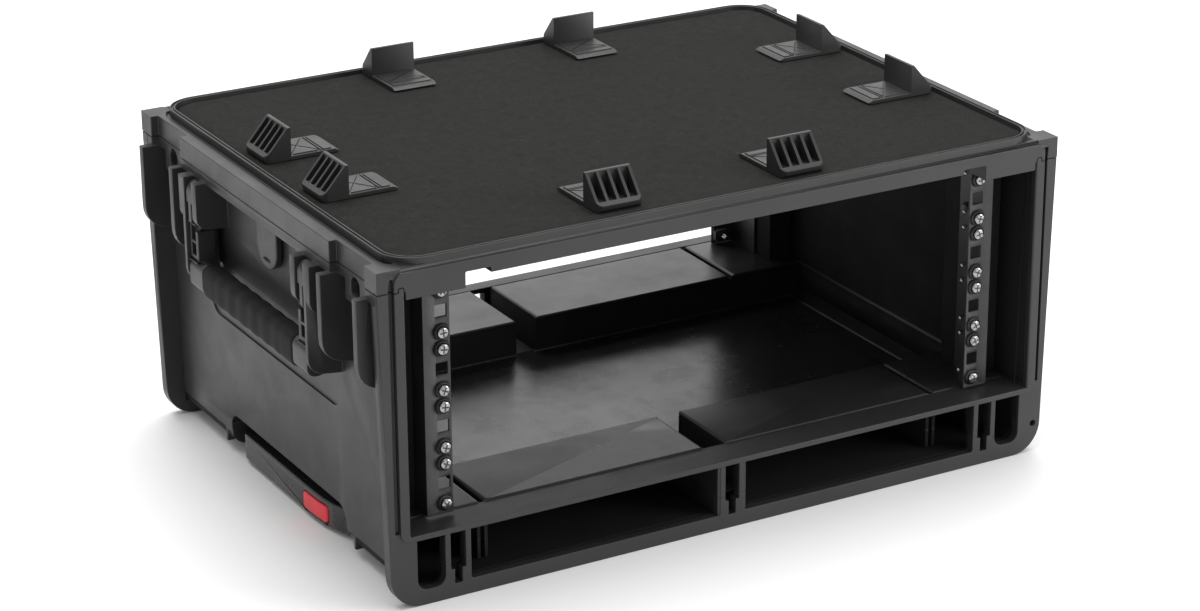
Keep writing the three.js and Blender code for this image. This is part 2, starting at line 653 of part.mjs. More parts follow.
function lipRing(outerX, outerY, width, radius, z0, z1) {
  const outer = planPrism(roundedRectangle(-outerX, outerX, -outerY, outerY, radius), z0, z1, 6);
  const x = outerX - width;
  const y = outerY - width;
  const hole = roundedRectangle(-x, x, -y, y, radius - width);
  return outer.subtract(planPrism(hole, z0 - 1, z1 + 1, 6));
}

// front or back band: a plate proud of the end face with the ridge corners rounded
function bandPlate(side) {
  const shape = new THREE.Shape();
  const lowX = OPENING_X - 3 * CLEARANCE;
  shape.moveTo(-RIDGE_OUTER_X, PARTING_Z);
  shape.lineTo(-lowX, PARTING_Z);
  shape.lineTo(-lowX, BAND_LOW);
  shape.lineTo(-BAND_STEP_X, BAND_LOW);
  shape.lineTo(-BAND_STEP_X, BAND_HIGH);
  shape.lineTo(BAND_STEP_X, BAND_HIGH);
  shape.lineTo(BAND_STEP_X, BAND_LOW);
  shape.lineTo(lowX, BAND_LOW);
  shape.lineTo(lowX, PARTING_Z);
  shape.lineTo(RIDGE_OUTER_X, PARTING_Z);
  shape.lineTo(RIDGE_OUTER_X, RIDGE_TOP - RIDGE_CORNER);
  shape.absarc(RIDGE_OUTER_X - RIDGE_CORNER, RIDGE_TOP - RIDGE_CORNER, RIDGE_CORNER, 0, Math.PI / 2);
  shape.lineTo(-RIDGE_OUTER_X + RIDGE_CORNER, RIDGE_TOP);
  shape.absarc(-RIDGE_OUTER_X + RIDGE_CORNER, RIDGE_TOP - RIDGE_CORNER, RIDGE_CORNER, Math.PI / 2, Math.PI);
  return frontPrism(shape, ...endSpan(side, -RIDGE_PROUD, BAND_DEPTH));
}

function frameEndCutters(side) {
  const groove = endSpan(side, -1, GROOVE_DEPTH);
  const setBack = HALF_DEPTH - LIP_OUTER_Y;
  return [
    ...bothSides((half) => block(half * RIDGE_OUTER_X, half * GROOVE_OUTER_X, groove[0], groove[1],
      PARTING_Z - 1, RIDGE_TOP - RIDGE_CORNER / 2)),
    endBlock(side, -CORNER_BLOCK_FACE_X, CORNER_BLOCK_FACE_X, -1, setBack, RIDGE_TOP, FRAME_TOP + 1),
    ...bothSides((half) => endBlock(side, half * BAND_NOTCH_X, half * BAND_STEP_X, -RIDGE_PROUD - 1,
      BAND_DEPTH + 1, BAND_HIGH - 1, BAND_NOTCH_TOP)),
    ...ridgeTongues(side, CLEARANCE),
  ];
}

function topFrame() {
  const bandIn = HALF_DEPTH - BAND_DEPTH;
  const ledgeTop = DECK_BOTTOM - CLEARANCE;
  const plate = planPrism(frameOutline(), PARTING_Z, FRAME_TOP);
  const window = block(-OPENING_X, OPENING_X, -bandIn, bandIn, PARTING_Z - 1, FRAME_TOP + 1);
  const under = bothSides((side) => endBlock(side, -OPENING_X, OPENING_X, 0, BAND_DEPTH + 1,
    PARTING_Z - 1, BAND_HIGH));
  const channel = lipRing(LIP_OUTER_X + CHANNEL_WIDTH, LIP_OUTER_Y + CHANNEL_WIDTH / 2, CHANNEL_WIDTH,
    LIP_CORNER + CHANNEL_WIDTH, FRAME_TOP - CHANNEL_DEPTH, FRAME_TOP + 1);
  const sideChannels = channel.subtract(block(-LIP_OUTER_X + 20, LIP_OUTER_X - 20,
    -HALF_DEPTH - 10, HALF_DEPTH + 10, 0, ABOVE_ALL));
  const keepInside = block(-WALL_TOP_X - 20, WALL_TOP_X + 20, -LIP_OUTER_Y + 12, LIP_OUTER_Y - 12,
    0, ABOVE_ALL);
  const shelfX = OPENING_X - SHELF_REACH;
  const shelfY = bandIn - SHELF_REACH;
  const shelf = block(-OPENING_X, OPENING_X, -bandIn, bandIn, ledgeTop - PLATE, ledgeTop)
    .subtract(block(-shelfX, shelfX, -shelfY, shelfY, 0, ABOVE_ALL));
  const lip = lipRing(LIP_OUTER_X, LIP_OUTER_Y, LIP_WIDTH, LIP_CORNER, FRAME_TOP - 1, LIP_TOP);
  const inset = (LIP_WIDTH - GLAND.width) / 2;
  const gland = lipRing(LIP_OUTER_X - inset, LIP_OUTER_Y - inset, GLAND.width, LIP_CORNER - inset,
    LIP_TOP - GLAND.depth, LIP_TOP + 1);
  const rim = cut(plate, window, under, sideChannels.intersect(keepInside));
  const bands = bothSides(bandPlate);
  const joined = union(rim, bands, shelf, lip);
  return cut(joined, gland, bothSides(frameEndCutters).flat());
}

function deckPanel() {
  const y = HALF_DEPTH - BAND_DEPTH - CLEARANCE;
  const outline = roundedRectangle(-DECK_HALF_X, DECK_HALF_X, -y, y, DECK_CORNER);
  return planPrism(outline, DECK_BOTTOM, FRAME_TOP - CLEARANCE, 4);
}

function carpetPanel() {
  const inset = LIP_WIDTH + 2.5;
  const x = LIP_OUTER_X - inset;
  const y = LIP_OUTER_Y - inset;
  return planPrism(roundedRectangle(-x, x, -y, y, LIP_CORNER - inset), CARPET_BOTTOM, CARPET_TOP, 6);
}

// ---------------------------------------------------------------- cleats
// cleat at the origin: smooth wall faces +Y (towards the middle), gusset towards -Y
function cleat() {
  const half = CLEAT.width / 2;
  const noseY = -(CLEAT.length - CLEAT.pad);
  const gussetTopY = -CLEAT.wall;
  const { ribs, ribWidth } = CLEAT;
  const side = polygon([
    [CLEAT.pad - 3, 0], [CLEAT.pad, 1.2], [CLEAT.pad - 4, CLEAT.plate], [0, CLEAT.plate],
    [0, CLEAT.height], [gussetTopY, CLEAT.height], [noseY + 4, CLEAT.nose + 2], [noseY, CLEAT.nose - 1],
    [noseY, 1.5], [noseY + 2, 0],
  ]);
  const solid = sidePrism(side, -half, half);
  const gap = (CLEAT.width - ribs * ribWidth) / (ribs - 1);
  const slots = [];
  for (let rib = 0; rib < ribs - 1; rib += 1) {
    const x = -half + ribWidth + rib * (gap + ribWidth);
    const profile = polygon([
      [gussetTopY, CLEAT.nose], [noseY + 4.5, CLEAT.nose], [noseY - 3, CLEAT.nose + 8],
      [noseY, CLEAT.height + 5], [gussetTopY, CLEAT.height - 1.2],
    ]);
    slots.push(sidePrism(profile, x, x + gap));
  }
  return cut(solid.intersect(cleatPlan()), slots);
}

// outline of a cleat from above, with its nose well rounded
function cleatPlan() {
  const half = CLEAT.width / 2;
  const noseY = -(CLEAT.length - CLEAT.pad);
  const nose = roundedRectangle(-half, half, noseY, 0, CLEAT.noseCorner);
  const pad = roundedRectangle(-half, half, 0, CLEAT.pad, CLEAT.padCorner);
  const top = CLEAT.height + 1;
  const middle = block(-half, half, noseY + CLEAT.noseCorner, CLEAT.pad - CLEAT.padCorner, -1, top);
  return union(planPrism(nose, -1, top, 4), planPrism(pad, -1, top, 2), middle);
}

function placeCleats() {
  CLEAT_PLACES.forEach((place, index) => {
    const mesh = addPiece(`cleat_${index + 1}`, cleat(), blackPlastic());
    mesh.position.set(place.x, place.y, CARPET_TOP + CLEARANCE);
    mesh.rotation.z = THREE.MathUtils.degToRad(place.turn);
  });
}

// ---------------------------------------------------------------- rack rails and screws
function rackHoleHeights(offsets) {
  const heights = [];
  for (let unit = 0; unit < RACK_UNITS; unit += 1) {
    offsets.forEach((offset) => heights.push(BAY_BOTTOM + unit * RACK_UNIT + offset));
  }
  return heights;
}

function rackRail(side, end) {
  const bottom = BOX_TOP + CLEARANCE;
  const top = RAIL_TOP;
  const back = RAIL_SETBACK + RAIL_SHEET;
  const face = endBlock(end, side * RAIL_INNER_X, side * RAIL_OUTER_X, RAIL_SETBACK, back, bottom, top);
  const flange = endBlock(end, side * (RAIL_OUTER_X - RAIL_SHEET), side * RAIL_OUTER_X, RAIL_SETBACK,
    RAIL_FLANGE_END, bottom, top);
  const half = RACK_HOLE_SIZE / 2;
  const holes = rackHoleHeights(RACK_HOLES_IN_UNIT).map((z) => endBlock(end,
    side * (RACK_HOLE_X - half), side * (RACK_HOLE_X + half), RAIL_SETBACK - 1, back + 1,
    z - half, z + half));
  return cut(union(face, flange), holes);
}

// panel screw with its cup washer, drawn as one turned solid along its axis
function rackScrew() {
  return lathe(SCREW_PROFILE, SCREW_SIDES);
}

function placeScrews() {
  const outerOffsets = [RACK_HOLES_IN_UNIT[0], RACK_HOLES_IN_UNIT[2]];
  for (const [label, side] of [['left', -1], ['right', 1]]) {
    rackHoleHeights(outerOffsets).forEach((z, index) => {
      const mesh = addPiece(`rack_screw_${label}_${index + 1}`, rackScrew(), chrome());
      mesh.position.set(side * RACK_HOLE_X, -(HALF_DEPTH - RAIL_SETBACK + CLEARANCE), z);
    });
  }
}

// bolt head that fixes a rail flange to its column
function railBolt(side) {
  return lathe(BOLT_PROFILE, BOLT_SIDES).rotate([0, 0, side > 0 ? 90 : -90]);
}

function placeRails() {
  for (const [endName, end] of [['front', -1], ['rear', 1]]) {
    for (const [sideName, side] of [['left', -1], ['right', 1]]) {
      const label = `${endName}_${sideName}`;
      addPiece(`rack_rail_${label}`, rackRail(side, end), blackSteel());
      RAIL_BOLT_HEIGHTS.forEach((z, index) => {
        const mesh = addPiece(`rail_bolt_${label}_${index + 1}`, railBolt(side), blackSteel());
        const x = side * (RAIL_OUTER_X - RAIL_SHEET - CLEARANCE);
        mesh.position.set(x, end * (HALF_DEPTH - RAIL_BOLT_DEPTH), z);
      });
    }
  }
}

// ---------------------------------------------------------------- carry handle
// outline of the arm as seen from outside: a tongue at the pivot, then a wider ladder
function armOutline() {
  const { near, far } = ARM_TONGUE;
  return polygon([
    [far, ARM_LADDER.top + 1], [ARM_LADDER.far, ARM_LADDER.top], [ARM_LADDER.far, ARM_LADDER.bottom - 2],
    [ARM_LADDER.near, ARM_LADDER.bottom - 2], [ARM_LADDER.near, ARM_LADDER.top], [near, ARM_LADDER.top],
    [near, HANDLE_PIVOT.z], [far, HANDLE_PIVOT.z],
  ]);
}

// recesses in the outer face of an arm: waist beside the tongue, ladder windows, and steps
function armReliefs(outer) {
  const { near, far } = ARM_TONGUE;
  const { bottom, top, width, depth } = ARM_WAIST;
  const ladder = [ARM_LADDER.near - 1, ARM_LADDER.far + 1];
  const window = [ARM_WINDOW_Y.near, ARM_WINDOW_Y.far];
  return [
    block(outer - 1, outer + depth, near - 1, near + width, bottom, top),
    block(outer - 1, outer + depth, far - width, far + 1, bottom, top),
    ARM_WINDOWS.map(([z0, z1]) => block(outer - 1, outer + depth, ...window, z0, z1)),
    block(outer - 1, outer + ARM_STEP, ...ladder, ARM_ELBOW.top, bottom - 1),
    block(outer - 1, outer + ARM_STEP + 1.4, ...ladder, ARM_ELBOW.top - 0.6, ARM_LADDER.bottom),
  ];
}

function handleArm() {
  const outer = HANDLE_PIVOT.x - KNUCKLE;
  const inner = HANDLE_PIVOT.x + KNUCKLE;
  const { near, far } = ARM_TONGUE;
  const leg = sidePrism(armOutline(), outer, inner);
  const knuckle = rodY(HANDLE_PIVOT.x, HANDLE_PIVOT.z, KNUCKLE, near, far, 24);
  const elbowOutline = roundedRectangle(outer, inner, ARM_ELBOW.bottom, ARM_ELBOW.top, 7);
  const elbow = frontPrism(elbowOutline, ARM_ELBOW.near, ARM_ELBOW.far, 4);
  const bore = rodY(HANDLE_PIVOT.x, HANDLE_PIVOT.z, PIN_RADIUS + CLEARANCE, near - 1, far + 1);
  return cut(union(leg, knuckle, elbow), bore, armReliefs(outer));
}

function carryHandle() {
  const arm = handleArm();
  const reach = ARM_ELBOW.near + 3;
  const core = rodY(HANDLE_PIVOT.x, GRIP_AXIS_Z, GRIP_CORE, -reach, reach, 12);
  return union(arm, arm.mirror([0, 1, 0]), core);
}

function carryGrip() {
  const x = HANDLE_PIVOT.x;
  const depth = KNUCKLE + 0.6;
  const outline = roundedRectangle(x - depth, x + depth, ARM_ELBOW.bottom - 1, ARM_ELBOW.top, 8);
  const sleeve = frontPrism(outline, -GRIP_HALF_LENGTH, GRIP_HALF_LENGTH, 4);
  const bore = rodY(x, GRIP_AXIS_Z, GRIP_CORE + CLEARANCE, -ARM_ELBOW.far, ARM_ELBOW.far, 12);
  return sleeve.subtract(bore);
}

function placeCarryHandle() {
  addPiece('carry_handle', carryHandle(), blackPlastic());
  addPiece('carry_grip', carryGrip(), blackRubber());
  for (const [name, side] of [['front', -1], ['rear', 1]]) {
    const ends = [side * (INNER_CHEEK.near + 3), side * (OUTER_CHEEK.far - 0.5)].sort((a, b) => a - b);
    const pin = rodY(HANDLE_PIVOT.x, HANDLE_PIVOT.z, PIN_RADIUS, ...ends);
    addPiece(`handle_pin_${name}`, pin, blackSteel());
  }
}

// ---------------------------------------------------------------- pressure valve
function pressureValve() {
  const { radius, z: centre, face } = PRESSURE_VALVE;
  const shape = new THREE.Shape();
  shape.moveTo(radius, LEDGE_BOTTOM - CLEARANCE);
  shape.lineTo(-radius, LEDGE_BOTTOM - CLEARANCE);
  shape.lineTo(-radius, centre);
  shape.absarc(0, centre, radius, Math.PI, Math.PI * 2);
  const tongue = sidePrism(shape, face, -WALL_TOP_X - CLEARANCE, 7);
  const vent = block(face - 1, face + 2, -5, 5, centre - 11, centre - 9.4);
  return tongue.subtract(vent);
}

// ---------------------------------------------------------------- pull handle
function rectangularTube(y, { width, height, wall, start, end }) {
  const { z } = PULL_TUBE;
  const outer = block(start, end, y - width / 2, y + width / 2, z - height / 2, z + height / 2);
  const bore = block(start - 1, end + 1, y - width / 2 + wall, y + width / 2 - wall,
    z - height / 2 + wall, z + height / 2 - wall);
  return outer.subtract(bore);
}

// the grip bows outwards between its two ends
function pullGripOutline() {
  const { rear, front, inner, outer, end } = PULL_GRIP;
  const rearFace = rear - PULL_BOW.rear;
  const frontFace = front + PULL_BOW.front;
  const shape = new THREE.Shape();
  shape.moveTo(inner, front);
  shape.lineTo(inner, rear);
  shape.lineTo(end, rear);
  shape.quadraticCurveTo(outer, rear - PULL_BOW.rearEase, outer, rearFace);
  shape.lineTo(outer, frontFace);
  shape.quadraticCurveTo(outer, front + PULL_BOW.frontEase, end, front);
  return shape;
}

function buttonOutline(grow) {
  return roundedRectangle(BUTTON.near - grow, BUTTON.far + grow, BUTTON.bottom - grow, BUTTON.top + grow,
    BUTTON.corner + grow);
}

function pullGrip() {
  const body = planPrism(pullGripOutline(), PULL_GRIP.bottom, PULL_GRIP.top, 6);
  const pocket = sidePrism(buttonOutline(CLEARANCE + 0.1), PULL_GRIP.outer - 2, BUTTON.pocket);
  return body.subtract(pocket);
}

// the button sits in the bowed face, slightly proud of it
function releaseButton() {
  const face = planPrism(pullGripOutline(), BUTTON.bottom - 1, BUTTON.top + 1, 6)
    .translate([-BUTTON.proud, 0, 0]);
  return face.intersect(sidePrism(buttonOutline(0), PULL_GRIP.outer - 5, BUTTON.inner));
}

function pullBezel() {
  const { outer, inner } = PULL_BEZEL;
  const plate = block(outer, inner, -PULL_RECESS.half + CLEARANCE, PULL_RECESS.half - CLEARANCE,
    BODY_BOTTOM + CLEARANCE, FLOOR_TOP - FLOOR_THICKNESS - CLEARANCE);
  const clear = 0.4;
  const holes = bothSides((side) => block(outer - 1, inner + 1,
    side * PULL_TUBE_Y - PULL_TUBE.width / 2 - clear, side * PULL_TUBE_Y + PULL_TUBE.width / 2 + clear,
    PULL_TUBE.z - PULL_TUBE.height / 2 - clear, PULL_TUBE.z + PULL_TUBE.height / 2 + clear));
  return cut(plate, holes);
}

function placePullHandle() {
  addPiece('pull_grip', pullGrip(), glossPlastic());
  addPiece('release_button', releaseButton(), redPlastic());
  addPiece('pull_bezel', pullBezel(), blackPlastic());
  for (const [name, side] of [['front', -1], ['rear', 1]]) {
    addPiece(`pull_tube_${name}`, rectangularTube(side * PULL_TUBE_Y, PULL_TUBE), aluminium());
    addPiece(`pull_sleeve_${name}`, rectangularTube(side * PULL_TUBE_Y, PULL_SLEEVE), blackSteel());
  }
}

// ---------------------------------------------------------------- wheels
function ringAlongY(inner, outer, half) {
  const shoulder = outer - WHEEL_CHAMFER;
  return lathe([
    [inner, -half], [shoulder, -half], [outer, -half + WHEEL_CHAMFER],
    [outer, half - WHEEL_CHAMFER], [shoulder, half], [inner, half], [inner, -half],
  ], WHEEL_SIDES);
}

function placeWheels() {
  for (const [name, side] of [['front', -1], ['rear', 1]]) {
    const place = [WHEEL.x, side * WHEEL.y, WHEEL.z];
    const tyre = ringAlongY(WHEEL.hub + CLEARANCE, WHEEL.radius, WHEEL.half);
    addPiece(`wheel_tyre_${name}`, tyre, blackRubber()).position.set(...place);
    const hub = ringAlongY(AXLE_RADIUS + CLEARANCE, WHEEL.hub, WHEEL.half + 1);
    addPiece(`wheel_hub_${name}`, hub, blackPlastic()).position.set(...place);
    addPiece(`wheel_axle_${name}`, rodY(WHEEL.x, WHEEL.z, AXLE_RADIUS, side * WHEEL.y - WELL_HALF - 3,
      side * WHEEL.y + WELL_HALF + 3), blackSteel());
  }
}

// ---------------------------------------------------------------- assembly
addPiece('case_tub', caseTub(), blackPlastic());
addPiece('front_frame', endFrame(-1), blackPlastic());
addPiece('rear_frame', endFrame(1), blackPlastic());
addPiece('top_frame', topFrame(), blackPlastic());
addPiece('deck_panel', deckPanel(), blackPlastic());
addPiece('carpet', carpetPanel(), loopCarpet());
addPiece('pressure_valve', pressureValve(), blackPlastic());
placeCleats();
placeRails();
placeScrews();
placeCarryHandle();
placePullHandle();
placeWheels();

export default rackCase;
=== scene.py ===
"""Wheeled four-unit equipment rack case, shown without its lid and doors.

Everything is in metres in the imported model's frame: +X towards the wheel side, +Y from the front
opening to the rear one, +Z up, with the origin in the middle of the ground footprint.
"""

import json
import math
import random

import bmesh
import bpy
from mathutils import Matrix, Vector, bvhtree, kdtree, noise


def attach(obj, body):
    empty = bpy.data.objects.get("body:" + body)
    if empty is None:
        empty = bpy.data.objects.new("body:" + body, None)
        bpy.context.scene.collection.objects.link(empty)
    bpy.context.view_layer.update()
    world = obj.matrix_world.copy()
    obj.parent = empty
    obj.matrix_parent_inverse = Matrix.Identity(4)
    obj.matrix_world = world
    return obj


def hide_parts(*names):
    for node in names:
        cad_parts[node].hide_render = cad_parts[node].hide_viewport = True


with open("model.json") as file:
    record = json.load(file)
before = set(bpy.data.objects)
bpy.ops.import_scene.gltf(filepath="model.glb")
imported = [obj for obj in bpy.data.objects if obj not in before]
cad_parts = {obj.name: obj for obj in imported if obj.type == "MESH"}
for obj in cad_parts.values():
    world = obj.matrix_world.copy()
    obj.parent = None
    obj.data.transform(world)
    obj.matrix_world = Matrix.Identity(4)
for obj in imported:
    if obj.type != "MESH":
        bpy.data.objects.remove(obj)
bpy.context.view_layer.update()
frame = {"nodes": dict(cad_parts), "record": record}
nodes = frame["nodes"]
MM = 0.001


# ---------------------------------------------------------------- camera
CAMERA_PLACE = Vector((-1.22298, -2.16022, 1.08703))
CAMERA_AZIMUTH = math.radians(-29.6211)
CAMERA_ELEVATION = math.radians(21.5047)
CAMERA_ROLL = math.radians(-0.2909)
CAMERA_LENS = 100.524
CAMERA_SENSOR = 36


def make_camera():
    back = Vector((
        math.sin(CAMERA_AZIMUTH) * math.cos(CAMERA_ELEVATION),
        -math.cos(CAMERA_AZIMUTH) * math.cos(CAMERA_ELEVATION),
        math.sin(CAMERA_ELEVATION),
    ))
    level_right = (-back).cross(Vector((0, 0, 1))).normalized()
    level_up = level_right.cross(-back)
    right = level_right * math.cos(CAMERA_ROLL) + level_up * math.sin(CAMERA_ROLL)
    up = level_up * math.cos(CAMERA_ROLL) - level_right * math.sin(CAMERA_ROLL)
    turn = Matrix((right, up, back)).transposed()
    data = bpy.data.cameras.new("camera")
    data.lens = CAMERA_LENS
    data.sensor_width = CAMERA_SENSOR
    data.clip_end = 50
    camera = bpy.data.objects.new("camera", data)
    camera.matrix_world = Matrix.Translation(CAMERA_PLACE) @ turn.to_4x4()
    bpy.context.scene.collection.objects.link(camera)
    bpy.context.scene.camera = camera


# ---------------------------------------------------------------- light and floor
WHITE = (1.0, 1.0, 1.0, 1)
WORLD_STRENGTH = 0.54
LIGHT_TARGET = (0, 0, 0.15)
LIGHTS = [                          # name, place, size and power in watts
    ("top", (0.1, 0.4, 3.0), (3.2, 3.2), 115),
    ("back", (0.9, 3.4, 1.7), (4.6, 2.2), 34),
    ("left", (-2.8, -0.4, 1.0), (1.6, 1.2), 4),
    ("right", (2.3, -2.2, 0.9), (1.6, 1.2), 48),
]
FLOOR_HALF = 30
FLOOR_ALBEDO = 0.92


def make_area_light(name, place, size, power):
    data = bpy.data.lights.new(name, "AREA")
    data.shape = "RECTANGLE"
    data.size, data.size_y = size
    data.energy = power
    light = bpy.data.objects.new(name, data)
    light.location = place
    light.rotation_mode = "QUATERNION"
    light.rotation_quaternion = (Vector(LIGHT_TARGET) - Vector(place)).to_track_quat("-Z", "Y")
    bpy.context.scene.collection.objects.link(light)


def make_studio():
    """A white room: even light from all round, a large top light, a white wall behind and two fills."""
    world = bpy.data.worlds.new("studio")
    world.use_nodes = True
    background = world.node_tree.nodes["Background"]
    background.inputs["Color"].default_value = WHITE
    background.inputs["Strength"].default_value = WORLD_STRENGTH
    bpy.context.scene.world = world
    bpy.context.scene.view_settings.view_transform = "Standard"
    for name, place, size, power in LIGHTS:
        make_area_light(name, place, size, power)


def make_floor():
    mesh = bpy.data.meshes.new("floor")
    half = FLOOR_HALF
    corners = [(-half, -half, 0), (half, -half, 0), (half, half, 0), (-half, half, 0)]
    mesh.from_pydata(corners, [], [(0, 1, 2, 3)])
    floor = bpy.data.objects.new("floor", mesh)
    bpy.context.scene.collection.objects.link(floor)
    mesh.materials.append(floor_material())


# ---------------------------------------------------------------- materials
DRIFT_SCALE = 9                     # noise scales, per metre
SMEAR_SCALE = 26
SCUFF_SCALE = 70
GRAIN_SCALE = 1500
GRAIN_DEPTH = 0.035 * MM
SHELL_TONE = 0.023
# near-black painted shade for the inner walls, step sides, pockets and the rim of the floor's dish
PAINTED_SHADE_TONE = 0.002
SCUFF_TONE = 0.05
FLOOR_GLOSS = 0.19
BOX_GLOSS = 0.1
WALL_MATT = 0.4
TUB_SHINE = 0.38                    # specular level of the tub
FRAME_SHINE = 0.45                  # and of the moulded frames
# the inner walls, floor-box step sides and end-band pockets below get the near-black painted shade
INNER_WALL_X = (246 * MM, 271.3 * MM)
BAY_Z = (59 * MM, 262 * MM)
BAY_END_Y = 207 * MM
BOX_SIDE_Z = (28.2 * MM, 56.5 * MM)
WELL_FLOOR_Z = (26 * MM, 27.6 * MM)
BOX_TOP_Z = (57.4 * MM, 58.4 * MM)
POCKET_Z = (11.5 * MM, 56 * MM)
POCKET_Y = (119 * MM, 203 * MM)
# centre of the well floor's round dish and the radii of the painted shade line along its rim
FLOOR_DISH_CENTRE = (8 * MM, 20 * MM)
DISH_RIM_SHADE_RADII = (50.2 * MM, 51 * MM)


class Nodes:
    """Small helper that builds one material's node tree."""

    def __init__(self, name):
        self.material = bpy.data.materials.new(name)
        self.material.use_nodes = True
        self.tree = self.material.node_tree
        self.shader = self.tree.nodes["Principled BSDF"]

    def add(self, kind, **values):
        node = self.tree.nodes.new(kind)
        for key, value in values.items():
            setattr(node, key, value)
        return node

    def link(self, source, target):
        self.tree.links.new(source, target)

    def coordinates(self):
        return self.add("ShaderNodeTexCoord").outputs["Object"]

    def noise(self, scale, detail=3, roughness=0.5, vector=None):
        node = self.add("ShaderNodeTexNoise")
        node.inputs["Scale"].default_value = scale
        node.inputs["Detail"].default_value = detail
        node.inputs["Roughness"].default_value = roughness
        self.link(vector or self.coordinates(), node.inputs["Vector"])
        return node.outputs["Fac"]

    def ramp(self, source, stops):
        node = self.add("ShaderNodeValToRGB")
        elements = node.color_ramp.elements
        while len(elements) < len(stops):
            elements.new(0.5)
        for element, (place, colour) in zip(elements, stops):
            element.position = place
            element.color = (*colour, 1)
        self.link(source, node.inputs["Fac"])
        return node.outputs["Color"]

    def spread(self, source, low, high, from_low=0.3, from_high=0.7):
        node = self.add("ShaderNodeMapRange")
        node.inputs["From Min"].default_value = from_low
        node.inputs["From Max"].default_value = from_high
        node.inputs["To Min"].default_value = low
        node.inputs["To Max"].default_value = high
        self.link(source, node.inputs["Value"])
        return node.outputs["Result"]

    def within(self, value, low, high):
        """1 where the value lies between low and high, otherwise 0."""
        node = self.add("ShaderNodeMath", operation="COMPARE")
        node.inputs[1].default_value = (low + high) / 2
        node.inputs[2].default_value = (high - low) / 2
        self.link(value, node.inputs[0])
        return node.outputs[0]

    def combine(self, operation, first, second):
        """A math node on two sockets, or on a socket and a plain number."""
        node = self.add("ShaderNodeMath", operation=operation)
        for socket, value in zip(node.inputs, (first, second)):
            if isinstance(value, (int, float)):
                socket.default_value = value
            else:
                self.link(value, socket)
        return node.outputs[0]

    def blend_colour(self, factor, first, second):
        node = self.add("ShaderNodeMix", data_type="RGBA")
        self.link(factor, node.inputs["Factor"])
        for socket, colour in ((node.inputs["A"], first), (node.inputs["B"], second)):
            if isinstance(colour, tuple):
                socket.default_value = (*colour, 1)
            else:
                self.link(colour, socket)
        return node.outputs["Result"]

    def bump(self, height, distance, strength=1.0, normal=None):
        node = self.add("ShaderNodeBump")
        node.inputs["Distance"].default_value = distance
        node.inputs["Strength"].default_value = strength
        self.link(height, node.inputs["Height"])
        if normal is not None:
            self.link(normal, node.inputs["Normal"])
        return node.outputs["Normal"]


def grey(value):
    return (value, value * 0.995, value * 0.985)


def moulded_plastic(name, base, rough_low, rough_high, grain, grain_depth, specular=0.5):
    """Injection-moulded black plastic: spark-eroded grain, soft tone drift and faint handling marks."""
    build = Nodes(name)
    drift = build.noise(DRIFT_SCALE, 4, 0.6)
    colour = build.ramp(drift, [(0.3, grey(base * 0.86)), (0.7, grey(base * 1.14))])
    build.link(colour, build.shader.inputs["Base Color"])
    smears = build.noise(SMEAR_SCALE, 5, 0.65)
    build.link(build.spread(smears, rough_low, rough_high), build.shader.inputs["Roughness"])
    fine = build.noise(grain, 2, 0.5)
    build.link(build.bump(fine, grain_depth), build.shader.inputs["Normal"])
    build.shader.inputs["Specular IOR Level"].default_value = specular
    return build.material


def dish_rim_shade(build, place):
    """1 along the rim of the shallow round dish in the well floor, where a painted shade line goes."""
    from_x = build.combine("SUBTRACT", place.outputs["X"], FLOOR_DISH_CENTRE[0])
    from_y = build.combine("SUBTRACT", place.outputs["Y"], FLOOR_DISH_CENTRE[1])
    square = build.combine("ADD", build.combine("POWER", from_x, 2), build.combine("POWER", from_y, 2))
    return build.within(build.combine("SQRT", square, 0), *DISH_RIM_SHADE_RADII)


